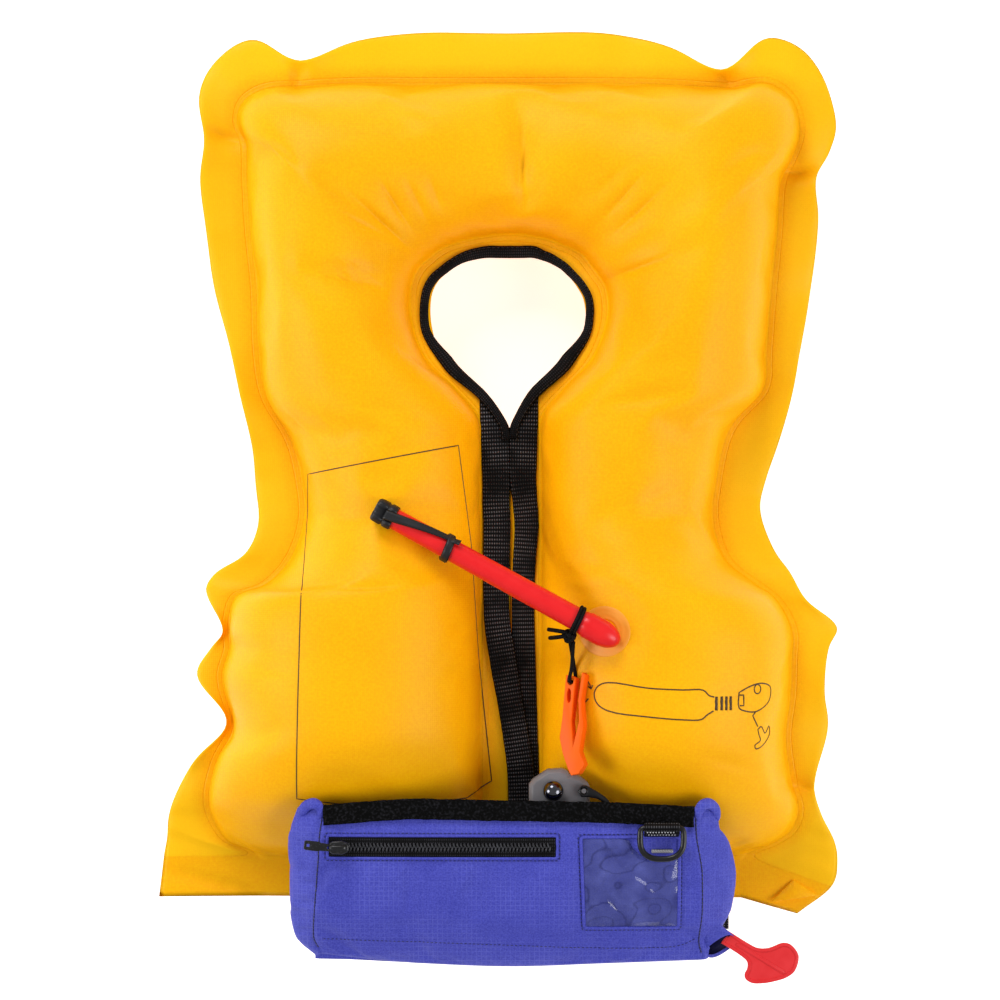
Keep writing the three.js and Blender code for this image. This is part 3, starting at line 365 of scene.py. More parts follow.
red_tube = moulded("extruded red vinyl", "#DE1218", "#EE2022", 0.3, 2.5, 0.06)
weld_film = moulded("orange weld film", "#F49A22", "#FBAA38", 0.46, 3.0, 0.1)
black_rubber = moulded("moulded black rubber", "#0A0A0C", "#18181C", 0.44, 1.2, 0.08)
grey_nylon = moulded("grey glass-filled nylon", "#646265", "#7A787C", 0.4, 0.8, 0.07)
black_acetal = moulded("black acetal", "#08080A", "#141418", 0.3, 1.5, 0.05)
orange_abs = moulded("orange ABS", "#F05600", "#FF6C06", 0.46, 1.5, 0.05, shine=0.22)
zip_nylon = moulded("black zip nylon", "#18181C", "#38383E", 0.3, 0.8, 0.04)
red_abs = moulded("red ABS", "#D21E22", "#E23236", 0.38, 1.2, 0.06, 0.03)
print(red_tube.name, grey_nylon.name, orange_abs.name)

# %% [markdown]
# ## Metals, clear film, thread and ink
# The cap nut is chromed brass, and the zip's slider is zinc with black paint that wears a little at its
# high places. The window is clear vinyl: half see-through, with sharp reflections on its crinkles; where
# it lies folded against the cloth, dark curved lines are painted into its colour, a painted shade.
# Thread is glossy polyester. Ink is a dull dark line on the coat.

# %% Metals, clear film, thread and ink
chrome, tree, shader = finish_of("chromed brass")
spot = put(tree, "ShaderNodeTexCoord").outputs["Object"]
haze = put(tree, "ShaderNodeTexNoise", {"Vector": spot, "Scale": grains(2.5), "Detail": 3})
polish = put(tree, "ShaderNodeMapRange", {0: haze, 3: 0.07, 4: 0.2})
tree.links.new(polish.outputs[0], shader.inputs["Roughness"])
# painted reflection: the chrome's colour is kept dark, for the dark surroundings overhead that the even white
# sky lacks
tone = put(tree, "ShaderNodeMix", {0: haze, 6: linear("#4A4A50"), 7: linear("#6E6E74")},
           data_type="RGBA")
tree.links.new(tone.outputs[2], shader.inputs["Base Color"])
shader.inputs["Metallic"].default_value = 1

black_zinc, tree, shader = finish_of("black painted zinc")
spot = put(tree, "ShaderNodeTexCoord").outputs["Object"]
wear = put(tree, "ShaderNodeTexNoise", {"Vector": spot, "Scale": grains(1.5), "Detail": 4})
rubbed = put(tree, "ShaderNodeMapRange", {0: wear, 1: 0.58, 2: 0.72})
tone = put(tree, "ShaderNodeMix", {0: rubbed, 6: linear("#09090B"), 7: linear("#34343A")},
           data_type="RGBA")
tree.links.new(tone.outputs[2], shader.inputs["Base Color"])
shader.inputs["Roughness"].default_value = 0.32

clear_vinyl, tree, shader = finish_of("clear vinyl film")
spot = put(tree, "ShaderNodeTexCoord").outputs["Object"]
haze = put(tree, "ShaderNodeTexNoise", {"Vector": spot, "Scale": grains(12), "Detail": 3})
film = put(tree, "ShaderNodeMix", {0: haze, 6: linear("#161C70"), 7: linear("#7078CC")},
           data_type="RGBA")
# painted shade: dark curved lines in the vinyl's colour where it lies folded
swirl = put(tree, "ShaderNodeTexNoise", {"Vector": spot, "Scale": grains(26), "Detail": 1})
rings = put(tree, "ShaderNodeMath", {0: swirl, 1: 0.085}, operation="PINGPONG")
painted_fold_shade = put(tree, "ShaderNodeMapRange", {0: rings, 1: 0, 2: 0.014, 3: 0.55, 4: 0})
tone = put(tree, "ShaderNodeMix", {0: painted_fold_shade, 6: film.outputs[2], 7: linear("#14184E")},
           data_type="RGBA")
tree.links.new(tone.outputs[2], shader.inputs["Base Color"])
shader.inputs["Roughness"].default_value = 0.09
shader.inputs["IOR"].default_value = 1.54
shader.inputs["Alpha"].default_value = 0.5


def thread_of(name, dark, light, shine=0.5):
    """Twisted polyester thread, or a cloth of it."""
    material, tree, shader = finish_of(name)
    spot = put(tree, "ShaderNodeTexCoord").outputs["Object"]
    twist = put(tree, "ShaderNodeTexWave", {"Vector": spot, "Scale": every(0.8)}, bands_direction="DIAGONAL")
    tone = put(tree, "ShaderNodeMix", {0: twist, 6: linear(dark), 7: linear(light)}, data_type="RGBA")
    tree.links.new(tone.outputs[2], shader.inputs["Base Color"])
    shader.inputs["Roughness"].default_value = 0.45
    shader.inputs["Specular IOR Level"].default_value = shine
    return material


navy_thread = thread_of("navy thread", "#0C0B2A", "#24225C")
black_thread = thread_of("black thread", "#060607", "#2A2A2E")
grey_thread = thread_of("grey thread", "#8E8E94", "#C2C2C8")
# painted shade: a dark navy cloth for the shadow inside the handle's tunnel
painted_shade = thread_of("navy lining cloth", "#05051A", "#10103A", 0.04)

ink, tree, shader = finish_of("brown-black ink")
spot = put(tree, "ShaderNodeTexCoord").outputs["Object"]
patchy = put(tree, "ShaderNodeTexNoise", {"Vector": spot, "Scale": grains(3), "Detail": 3})
tone = put(tree, "ShaderNodeMix", {0: patchy, 6: linear("#2A1A06"), 7: linear("#5A3A0A")},
           data_type="RGBA")
tree.links.new(tone.outputs[2], shader.inputs["Base Color"])
shader.inputs["Roughness"].default_value = 0.6
print(chrome.name, black_zinc.name, clear_vinyl.name, ink.name)

# %% [markdown]
# ## Making pieces
# Most pieces here are cloth, and a sheet of cloth is a grid that has been laid somewhere. So the main
# tool is Blender's grid: each of its points is moved to where a function of (u, v) says. The UV map
# "strip" keeps where a point was on the flat cloth, in metres, for the weaves.

# %% Grids and pieces
def laid_grid(shape, columns, rows, place, flat=None):
    """Adds a grid of columns by rows faces to a bmesh, with its points at place(u, v)."""
    made = bmesh.ops.create_grid(shape, x_segments=columns, y_segments=rows, size=0.5)["verts"]
    shares = {v: (v.co.x + 0.5, v.co.y + 0.5) for v in made}
    if flat:
        layer = shape.loops.layers.uv.get("strip") or shape.loops.layers.uv.new("strip")
        for face in {f for v in made for f in v.link_faces}:
            for loop in face.loops:
                loop[layer].uv = flat(*shares[loop.vert])
    for vert, (u, v) in shares.items():
        vert.co = place(u, v)
    return made


def piece(name, shape, material, stands_for=(), body="pack"):
    """Turns a bmesh into a finished object that rides on its body."""
    bmesh.ops.recalc_face_normals(shape, faces=shape.faces)
    mesh = bpy.data.meshes.new(name)
    shape.to_mesh(mesh)
    shape.free()
    mesh.materials.append(material)
    mesh.polygons.foreach_set("use_smooth", [True] * len(mesh.polygons))
    made = bpy.data.objects.new(name, mesh)
    bpy.context.scene.collection.objects.link(made)
    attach(made, body)
    if stands_for:
        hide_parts(*stands_for)
    print(name, len(mesh.polygons), "faces")
    return made


def smoother(made):
    """Rounds a piece by one subdivision, the same in the view as in the render."""
    rounding = made.modifiers.new("rounding", "SUBSURF")
    rounding.levels = rounding.render_levels = 1


def surface_of(made):
    """A finished piece as a tree to measure on."""
    return BVHTree.FromObject(made, bpy.context.evaluated_depsgraph_get())


def height_on(tree, x, y, otherwise):
    """Height in mm of the front of a surface at x and y in mm."""
    hit = tree.ray_cast(Vector((x * MM, y * MM, 1)), Vector((0, 0, -1)))[0]
    return hit.z / MM if hit else otherwise


def between(a, b, share):
    """A number at a share of the way from a to b."""
    return a + (b - a) * share


# %% [markdown]
# ## Bladder
# Two flat sheets of nylon, welded all round and blown up. The weld is narrower than the sheets, so a
# loose flange is left outside it, and it waves. The sections run from the left hem up round the collar
# and down to the right hem; each gives the edge at the slit or neck, the outer weld, the rim, how far
# the rim curls, and half the thickness. A curve through them gives as many sections as needed.

# %% Bladder sections
SHIFT = Vector((7.617, -256.221, 0))  # from the table's frame to the part's
FILM = 1.6
PRESS = 3
CHAMBER_END = 27
END_ROUND = 80
CREST = 0.53
LAP, SLIT_SEAM = 0.6, 18  # where the inner seam is wider, at the slit, the left edge lies higher by this lap
SECTIONS = [  # edge x, y, outer weld x, y, rim x, y, lift, half thickness, width of the inner seam
    (0.7, 0, -161, 0, -229, 0, 4, 46, 20),
    (0.7, 27, -164, 27, -226, 27, 2, 46, 20),
    (0.7, 35, -183, 36, -224, 39, 0, 47, 20),
    (0.7, 50, -193, 52, -223, 52, -2, 50, 20),
    (0.7, 70, -195, 66, -218, 67, -4, 55, 20),
    (0.7, 91, -189, 91, -205, 90, 0, 60, 20),
    (0.7, 113, -179, 109, -183, 115, 6, 63, 20),
    (0.7, 146, -186, 144, -204, 145, -3, 64, 20),
    (0.7, 164, -181, 163, -194, 163, 0, 64, 20),
    (0.7, 178, -182, 176, -186, 174, 6, 64, 20),
    (0.7, 197, -177, 196, -198, 200, -4, 63, 20),
    (0.7, 208, -157, 204, -192, 211, -2, 61, 20),
    (0.7, 222, -142, 220, -172, 224, 2, 58, 20),
    (0.7, 247, -133, 247, -164, 243, 0, 55, 20),
    (0.7, 272, -135, 272, -166, 268, -2, 54, 20),
    (0.7, 295, -142, 299, -168, 293, 2, 54, 20),
    (-3, 310, -158, 326, -176, 328, 5, 55, 18),
    (-21, 328, -163, 359, -183, 360, 0, 56, 16),
    (-42, 347, -164, 395, -193, 397, -3, 56, 16),
    (-51, 372, -168, 434, -198, 434, 0, 55, 16),
    (-51, 392, -170, 468, -202, 468, 3, 54, 16),
    (-47, 401, -171, 491, -199, 493, 6, 53, 16),
    (-42, 406, -177, 503, -203, 523, 0, 51, 16),
    (-36, 411, -174, 517, -193, 545, -3, 50, 16),
    (-30, 414, -160, 526, -168, 560, 0, 49, 16),
    (-22, 416, -137, 528, -138, 545, 6, 48, 16),
    (-15, 417, -101, 530, -103, 558, 2, 46, 16),
    (-8, 417, -59, 530, -62, 564, 0, 45, 16),
    (0, 417, 0, 530, 0, 564, -2, 44, 16),
    (8, 417, 62, 530, 64, 564, 0, 45, 16),
    (15, 417, 105, 529, 104, 555, 2, 46, 16),
    (22, 415, 145, 527, 139, 539, 6, 48, 16),
    (28, 413, 168, 530, 168, 561, 0, 49, 16),
    (34, 410, 184, 519, 196, 549, -3, 50, 16),
    (39, 404, 188, 499, 213, 506, 0, 51, 16),
    (44, 397, 182, 480, 208, 485, 3, 53, 16),
    (48, 389, 175, 465, 199, 468, 6, 54, 17),
    (49, 372, 173, 434, 201, 441, 0, 55, 17),
    (40, 347, 169, 395, 196, 395, -3, 56, 16),
    (20, 328, 166, 356, 189, 356, 0, 56, 16),
    (3, 310, 164, 331, 184, 329, 4, 55, 18),
    (0.3, 295, 142, 306, 176, 299, 2, 54, 20),
    (0.3, 272, 133, 270, 166, 269, -2, 54, 20),
    (0.3, 247, 131, 246, 163, 252, 0, 55, 20),
    (0.3, 222, 139, 220, 172, 226, 2, 58, 20),
    (0.3, 208, 157, 205, 182, 212, 0, 61, 20),
    (0.3, 196, 172, 194, 192, 194, 4, 63, 20),
    (0.3, 175, 182, 174, 213, 176, -4, 64, 20),
    (0.3, 158, 182, 155, 207, 163, 0, 64, 20),
    (0.3, 132, 181, 131, 204, 135, 4, 64, 20),
    (0.3, 106, 178, 104, 207, 111, -3, 62, 20),
    (0.3, 78, 182, 77, 198, 74, 3, 57, 20),
    (0.3, 57, 187, 57, 203, 54, -2, 52, 20),
    (0.3, 43, 182, 43, 212, 36, 0, 48, 20),
    (0.3, 35, 169, 34, 214, 23, 2, 47, 20),
    (0.3, 27, 153, 27, 211, 7, 0, 46, 20),
    (0.3, 0, 151, -1, 188, -12, -4, 46, 20),
]
DENTS = [  # middle x, y, direction, half length, half width, depth: seat of the inflator, fold, pulls
    (36, 68, 20, 34, 24, 15), (10, 490, 90, 34, 9, 4), (-95, 440, 130, 40, 10, 3),
    (-105, 400, 172, 40, 10, 2), (98, 412, 30, 36, 10, 2), (95, 250, 5, 34, 10, 3),
    (-100, 245, -5, 28, 10, 3),
]


def through(points, share):
    """A point of the smooth curve through some points, with knots by the root of their distance."""
    place = share * (len(points) - 1)
    k = min(int(place), len(points) - 2)
    b, c = points[k], points[k + 1]
    a = points[k - 1] if k else b * 2 - c
    d = points[k + 2] if k + 2 < len(points) else c * 2 - b
    gaps = [(q - p).length ** 0.5 for p, q in ((a, b), (b, c), (c, d))]
    gaps[1] = gaps[1] if gaps[1] > 1e-4 else 1.0
    one, two, three = (gap if gap > 1e-4 else gaps[1] for gap in gaps)
    out = ((b - a) / one - (c - a) / (one + two) + (c - b) / two) * two
    into = ((c - b) / two - (d - b) / (two + three) + (d - c) / three) * two
    w = place - k
    return (b * (2 * w ** 3 - 3 * w ** 2 + 1) + c * (3 * w ** 2 - 2 * w ** 3)
            + out * (w ** 3 - 2 * w ** 2 + w) + into * (w ** 3 - w ** 2))


def curve(values, share):
    """A number of the smooth curve through some numbers."""
    return through([Vector((k, value, 0)) for k, value in enumerate(values)], min(max(share, 0), 1)).y


edge_line = [Vector((s[0], s[1], s[8])) for s in SECTIONS]
weld_line = [Vector((s[2], s[3], s[7])) for s in SECTIONS]
rim_line = [Vector((s[4], s[5], s[6])) for s in SECTIONS]


def section(share):
    """One section: edge, valley, weld and rim at the middle height, with lift and half thickness."""
    edge, weld, rim = (through(line, share) for line in (edge_line, weld_line, rim_line))
    seam, half, lift = edge.z, weld.z, rim.z
    for point in (edge, weld, rim):
        point.z = half - PRESS
    valley = edge + (weld - edge).normalized() * seam
    if share < 0.5:
        edge.z += LAP * max(seam - SLIT_SEAM, 0) / 2
    reach = min(max((edge.y - CHAMBER_END) / END_ROUND, 0), 1)
    return edge, valley, weld, rim, lift, half * math.sqrt(1 - (1 - reach) ** 2)


def pits(x, y, table, sharp=2):
    """Depth of the dents of a table at a place."""
    deep = 0
    for middle_x, middle_y, turn, long, wide, depth in table:
        turn = math.radians(turn)
        along = (x - middle_x) * math.cos(turn) + (y - middle_y) * math.sin(turn)
        aside = (y - middle_y) * math.cos(turn) - (x - middle_x) * math.sin(turn)
        if abs(along) < 3 * long and abs(aside) < 4 * wide:
            deep += depth * math.exp(-(along / long) ** 2 - abs(aside / wide) ** sharp)
    return deep


ALONG = 236
SEAM, CHAMBER, FLANGE = 3, 38, 10
ACROSS = SEAM + CHAMBER + FLANGE
stations = [section(i / ALONG) for i in range(ALONG + 1)]
print("sections:", len(stations))

# %% [markdown]
# The two skins are two grids laid on the same sections, one above and one below. They meet at the rim,
# at the slit and at the hems, where doubles are merged, so the bladder is one closed shell. The cut edge
# is creased, so that rounding doesn't draw it back. Small folds run across the flange, which is longer
# than the weld that gathers it, and its lower right corner is folded up.

# %% Bladder skins
RIPPLE = 3.2
FLAT_CHAMBER, PALE_FROM = 8, 3.3  # a chamber this flat, in mm, counts as weld, and where its weld mark starts
FLAPS = [  # folds of the flange at its lower right corner, as for the dents; a negative depth is raised
    (190, -6, 12, 18, 6, 3), (152, -2, -52, 10, 3, -3),
]


def skin_point(i, j, front):
    """A point of the front or back skin in mm, in the section table's frame."""
    edge, valley, weld, rim, lift, full = stations[i]
    side = 1 if front else -1
    outermost = j in (0, ACROSS) or i in (0, ALONG)
    film = 0 if outermost else side * FILM / 2
    if j < SEAM:
        at = edge.lerp(valley, j / SEAM)
    elif j <= SEAM + CHAMBER:
        angle = math.pi * (j - SEAM) / CHAMBER
        half = CREST if angle < math.pi / 2 else 1 - CREST
        at = valley.lerp(weld, CREST - half * math.cos(angle))
        swell = full * math.sin(angle)
        if front:
            swell = max(swell - pits(at.x, at.y, DENTS) * math.sin(angle), 0)
        at.z += side * swell
    else:
        out = (j - SEAM - CHAMBER) / FLANGE
        at = weld.lerp(rim, out)
        wave = noise.noise((rim.x / 24, rim.y / 24, 3.1)) + 0.6 * noise.noise((rim.x / 11, rim.y / 11, 7.7))
        at.z += lift * out ** 2 + RIPPLE * wave * out - pits(at.x, at.y, FLAPS, 1) * out
    at.z += film
    return at


shape = bmesh.new()
weld_layer = shape.verts.layers.float.new("weld")
held_layer = shape.verts.layers.float.new("held")
rim_layer = shape.verts.layers.float.new("rim")
corner_layer = shape.verts.layers.float.new("crease_vert")
for front in (True, False):
    for vert in laid_grid(shape, ALONG, ACROSS, lambda u, v: Vector((u, v, 0))):
        i, j = round(vert.co.x * ALONG), round(vert.co.y * ACROSS)
        edge, valley, weld, rim, lift, full = stations[i]
        vert.co = skin_point(i, j, front)
        from_weld = (vert.co.xy - weld.xy).length * (1 if j > SEAM + CHAMBER else -1)
        from_valley = (vert.co.xy - valley.xy).length * (1 if j < SEAM else -1)
        vert[weld_layer] = max(from_weld, from_valley)
        vert[rim_layer] = 1.0 if j in (0, ACROSS) or i in (0, ALONG) else 0.0
        vert[corner_layer] = 1.0 if j in (0, ACROSS) and i in (0, ALONG) else 0.0
        if full < FLAT_CHAMBER:
            vert[weld_layer] = PALE_FROM - full
        vert[held_layer] = 1.0 if not SEAM < j < SEAM + CHAMBER or full < 1 else 0.0
        vert.co = (vert.co + SHIFT) * MM
        vert.co.z = max(vert.co.z, 0)
bmesh.ops.remove_doubles(shape, verts=shape.verts, dist=1e-6)
edge_layer = shape.edges.layers.float.new("crease_edge")
for edge in shape.edges:
    if all(vert[rim_layer] > 0.5 for vert in edge.verts):
        edge[edge_layer] = 1
air_bladder = piece("air_bladder", shape, nylon, ["bladder"])

# %% [markdown]
# ## Blowing it up
# Air pushes the same way everywhere, and cloth doesn't stretch, so a welded bladder puckers along its
# welds. Blender's cloth does this by itself: the flange and the seams are pinned, the cloth is cut a
# little large (a negative shrink), and pressure blows it out. What lies on the bladder keeps its place,
# so the skin under the tube, the whistle and the inflator may move only a little.

# %% Cloth simulation
def blown_up(made, frames, mass, stretch, shear, bend, pressure, spare):
    """Where pressure carries the points of a piece; those its attribute "held" marks stay pinned."""
    held = made.vertex_groups.new(name="held")
    for index, pinned in enumerate(made.data.attributes["held"].data):
        held.add([index], pinned.value, "REPLACE")
    swelling = made.modifiers.new("swelling", "CLOTH")
    cloth = swelling.settings
    cloth.quality = 5
    cloth.mass = mass
    cloth.tension_stiffness = cloth.compression_stiffness = stretch
    cloth.shear_stiffness = shear
    cloth.bending_stiffness = bend
    cloth.use_pressure = True
    cloth.uniform_pressure_force = pressure
    cloth.vertex_group_mass = "held"
    cloth.shrink_min = -spare
    cloth.effector_weights.gravity = 0
    swelling.collision_settings.use_collision = False
    for number in range(1, frames + 1):
        bpy.context.scene.frame_set(number)
    blown = made.evaluated_get(bpy.context.evaluated_depsgraph_get()).data
    after = [v.co.copy() for v in blown.vertices]
    made.modifiers.remove(swelling)
    made.vertex_groups.remove(held)
    bpy.context.scene.frame_set(1)
    return after


def capped(move, most):
    """A move, cut to a length in mm."""
    return move * min(most * MM / max(move.length, 1e-12), 1)


SWELL_CAP = 5.0
QUIET = [  # middle x, y and radius in mm of the places where something lies on the skin
    (67, -81, 34), (30, -62, 30), (-8, -41, 30), (-46, -20, 34), (46, -135, 34), (46, -170, 34),
    (40, -195, 42), (100, -220, 60), (-100, -220, 60), (0, -245, 60),
]
QUIET_FROM, QUIET_FADE, LEAST = 0.7, 0.5, 0.03  # shares of the radius and of the cap
FRONT_SKIN = 50  # what lies higher than this, in mm, is the front skin
rest = [v.co.copy() for v in air_bladder.data.vertices]
swollen = blown_up(air_bladder, frames=20, mass=0.25, stretch=20, shear=12, bend=0.4, pressure=4,
                   spare=0.012)
furthest = 0
for vert, before, after in zip(air_bladder.data.vertices, rest, swollen):
    freedom = SWELL_CAP
    for x, y, radius in QUIET:
        near = math.hypot(before.x / MM - x, before.y / MM - y) / radius
        if before.z > FRONT_SKIN * MM:
            freedom = min(freedom, SWELL_CAP * min(max((near - QUIET_FROM) / QUIET_FADE, LEAST), 1))
    move = capped(after - before, freedom)
    furthest = max(furthest, move.length)
    vert.co = before + move
    vert.co.z = max(vert.co.z, 0)
print("cloth moved up to", round(furthest / MM, 1), "mm")

# %% [markdown]
# Some folds belong to this bladder: the crease down the middle of the collar, the pulls that fan out from
# the neck, and the dents beside the arms. They are sharper than the sim makes them, so the mesh is rounded
# first and they are pressed into the finer one. At the pinches the flange itself is folded.

# %% Creases
CREASES = [  # middle x, y, direction, half length, half width, depth in mm; a negative depth is raised
    (16, 220, 91, 26, 2.8, 5.0), (20.5, 222, 91, 22, 3.0, -2.2), (10.7, 247, -79, 17, 2.8, 4.4),
    (6.5, 248, -79, 13, 3.0, -1.8), (-87, 179, -26, 13, 2.2, 2.6), (-76, 182, -42, 18, 2.2, 3.2),
    (-65, 191, -58, 14, 2.2, 2.9), (-52, 195, -63, 12, 2.2, 2.4), (-40.5, 200, -70, 8, 2.0, 1.7),
    (-96, 143, -12, 25, 2.4, 3.4), (-95, 150.5, -8, 18, 2.2, 2.3), (93, 152.5, 18, 22, 2.4, 3.2),
    (80.5, 198, 49, 14, 2.2, 2.5), (73, 209, 42, 10, 2.2, 2.0), (91, 189, 43, 17, 2.2, 2.9),
    (108, -11, 10, 24, 6.0, 2.6), (112, -27, -14, 18, 4.5, 1.8), (104, 7, 26, 18, 4.5, 1.8),
    (-112, -9, -8, 24, 5.0, 2.0), (-108, 9, -24, 18, 4.5, 1.6), (150, -123, 4, 16, 4.0, 1.8),
    (-150, -105, -6, 16, 4.0, 1.8), (146, -165, -16, 14, 4.0, 1.6), (-146, -145, 14, 14, 4.0, 1.6),
]
PINCHES = [  # as for the creases, through the flange
    (-130.3, 281, 88, 10, 3.4, 6.5), (-178, 239, -14, 13, 4.2, 6.5), (150, 277, 117, 9, 3.4, 6.5),
    (196, 215.5, -5, 12, 4.2, 6.5), (198, -184, -10, 11, 4.2, 6), (152, -221, 20, 8, 4, 4),
    (-179, -249, -14, 28, 3.5, 4), (-186, -222, -19, 20, 5, -3),
]
smoother(air_bladder)
finer = bpy.data.meshes.new_from_object(air_bladder.evaluated_get(bpy.context.evaluated_depsgraph_get()))
air_bladder.modifiers.clear()
coarse, air_bladder.data = air_bladder.data, finer
bpy.data.meshes.remove(coarse)
finer.name = "air_bladder"
for vert, pinned in zip(finer.vertices, finer.attributes["held"].data):
    x, y = vert.co.x / MM, vert.co.y / MM
    fold = pits(x, y, PINCHES, sharp=1.2)
    if pinned.value < 0.5 and vert.co.z > FRONT_SKIN * MM:
        fold += pits(x, y, CREASES, sharp=1.3)
    vert.co.z = max(vert.co.z - fold * MM, 0)
finer.update()
bladder_top = surface_of(air_bladder)
print("bladder height at its lobe, mm:", round(height_on(bladder_top, 100, -120, 0), 1))

# %% [markdown]
# At the lower right the flange is folded over: a soft three-cornered flap that stands up from its fold.
# It is a grid drawn together at one side, with a little belly, and then given its thickness.

# %% Folded corner
def thickened(shape, thick):
    """Turns a sheet's faces outwards and gives it a thickness in mm."""
    bmesh.ops.recalc_face_normals(shape, faces=shape.faces)
    bmesh.ops.solidify(shape, geom=shape.faces[:], thickness=thick * MM)


FOLD_LEFT, FOLD_RIGHT, FOLD_TIP = Vector((169.9, -3.6, 0)), Vector((201.1, 0.4, 0)), Vector((185.2, 11, 0))
FOLD_HIGH, FOLD_THICK = 5.0, 0.6


def flap_point(u, v):
    """From the fold at v = 0 to the tip."""
    at = FOLD_LEFT.lerp(FOLD_RIGHT, u).lerp(FOLD_TIP, v * 0.97) + SHIFT
    low = height_on(bladder_top, at.x, at.y, 44)
    at.z = low + 0.8 + FOLD_HIGH * (1 - v) ** 0.7 * math.sin(math.pi * between(0.12, 0.88, u)) ** 0.6
    return at * MM


shape = bmesh.new()
laid_grid(shape, 18, 12, flap_point)
thickened(shape, FOLD_THICK)
smoother(piece("flange_flap", shape, nylon))

# %% [markdown]
# ## Strips, tubes and cords
# A strap, a tube and a cord are all one outline carried along a line. The outline goes round the grid's
# rows and the line along its columns; the first and last rows are merged and the two ends filled.

# %% Swept pieces
def swept(shape, outline, path, loop=False):
    """Carries a closed outline of (across, up) points along stations of (place, across, up), in mm."""
    columns, rows = len(path) - (0 if loop else 1), len(outline)
    run = [0]
    for (here, *_), (there, *_) in zip(path, path[1:] + path[:1]):
        run.append(run[-1] + (there - here).length)
    girth = [0]
    for here, there in zip(outline, outline[1:] + outline[:1]):
        girth.append(girth[-1] + math.dist(here, there))

    def place(u, v):
        at, across, up = path[round(u * columns) % len(path)]
        a, b = outline[round(v * rows) % rows]
        return (at + across * a + up * b) * MM

    def flat(u, v):
        return girth[round(v * rows)] * MM, run[round(u * columns)] * MM

    made = laid_grid(shape, columns, rows, place, flat)
    bmesh.ops.remove_doubles(shape, verts=made, dist=1e-7)
    open_edges = [e for e in shape.edges if e.is_boundary]
    if not loop and open_edges:
        bmesh.ops.holes_fill(shape, edges=open_edges)
    return made


def ring_of(radius, points):
    """A round outline."""
    return [(radius * math.cos(2 * math.pi * k / points), radius * math.sin(2 * math.pi * k / points))
            for k in range(points)]


def oval(wide, tall, points):
    """An oval outline, by half its width and half its height."""
    return [(wide * a, tall * b) for a, b in ring_of(1, points)]


def flat_strip(wide, thick, cells=10):
    """The outline of a woven strip: flat, with rounded selvedges."""
    half, rounding = wide / 2, thick / 2
    top = [(between(rounding - half, half - rounding, k / cells), rounding) for k in range(cells + 1)]
    return top + [(half, 0)] + [(-a, -b) for a, b in top] + [(-half, 0)]


def stations_along(points, sideways):
    """Stations on a line of points, flat strips lying with their width towards sideways."""
    path = []
    for k, at in enumerate(points):
        ahead = (points[min(k + 1, len(points) - 1)] - points[max(k - 1, 0)]).normalized()
        up = Vector(sideways).cross(ahead).normalized()
        path.append((at, ahead.cross(up).normalized(), up))
    return path


print("strip outline points:", len(flat_strip(17, 1.6)))

# %% [markdown]
# ## Neck binding
# A ribbed tape folded over the raw edge of the neck opening and sewn down. It follows the same edge line
# as the bladder's sections, and it climbs over the straps where they start.

# %% Neck binding
FIRST_ROW, LAST_ROW = 15.2, 40.8
OVER_STRAP, STRAPS_END, LIFT_OVER = 1.8, 352, 20  # the tape climbs over the straps below this y
FOLD = [(6.5, 2.3), (3.5, 2.5), (0.5, 2.4), (-0.9, 1.9), (-1.7, 1.0), (-2.0, 0)]
INSIDE = [(6.5, 1.2), (0.4, 1.2), (-0.4, 0.5)]
fold_outline = FOLD + [(a, -b) for a, b in reversed(FOLD[:-1])]
fold_outline += [(a, -b) for a, b in INSIDE] + list(reversed(INSIDE))
NECK_EDGES = [  # row of the sections, then the tape's inner and outer edge, in mm out from the cut edge
    (15, -0.7, 6), (16, -0.7, 5), (17, -4.6, 2), (18, -6.2, 2.4), (19, 1.3, 7.3), (20, 1, 6.8),
    (21, 0.4, 6.7), (23, -0.5, 5.8), (26, -0.2, 7.8), (30, -0.2, 7.8), (31, -0.2, 6.4), (33, -1.2, 4.4),
    (35, 0.7, 5.9), (36, 0.8, 6), (37, -0.6, 4.9), (38, -8.3, 0.8), (39, -6.9, 0.3), (40, -1.6, 4),
    (41, -1.6, 5),
]


def neck_edges(row):
    """Inner and outer edge of the tape at a row."""
    for (here, *first), (there, *last) in zip(NECK_EDGES, NECK_EDGES[1:]):
        if row <= there:
            share = (row - here) / (there - here)
            return [between(a, b, share * share * (3 - 2 * share)) for a, b in zip(first, last)]


neck_path = []
for k in range(161):
    row = between(FIRST_ROW, LAST_ROW, k / 160)
    before, edge, after = (section((row + step) / (len(SECTIONS) - 1))[0] for step in (-0.1, 0, 0.1))
    ahead = (after - before).normalized()
    away = Vector((-ahead.y, ahead.x, 0))
    inner, outer = neck_edges(row)
    wider = (outer - inner) / (FOLD[0][0] - FOLD[-1][0])
    over_strap = Vector((0, 0, OVER_STRAP * min(max((STRAPS_END - edge.y) / LIFT_OVER, 0), 1)))
    neck_path.append((edge + away * (outer - FOLD[0][0] * wider) + over_strap + SHIFT, away * wider,
                      Vector((0, 0, 1))))
shape = bmesh.new()
swept(shape, fold_outline, neck_path)
piece("neck_tape", shape, binding_tape, ["neck_binding"])

# %% [markdown]
# ## Stitches
# A stitch is a short thread that dips into the cloth at both ends. There are many, so each is a small
# sphere of few faces, stretched along the seam and half sunk. The first row goes round the neck tape.

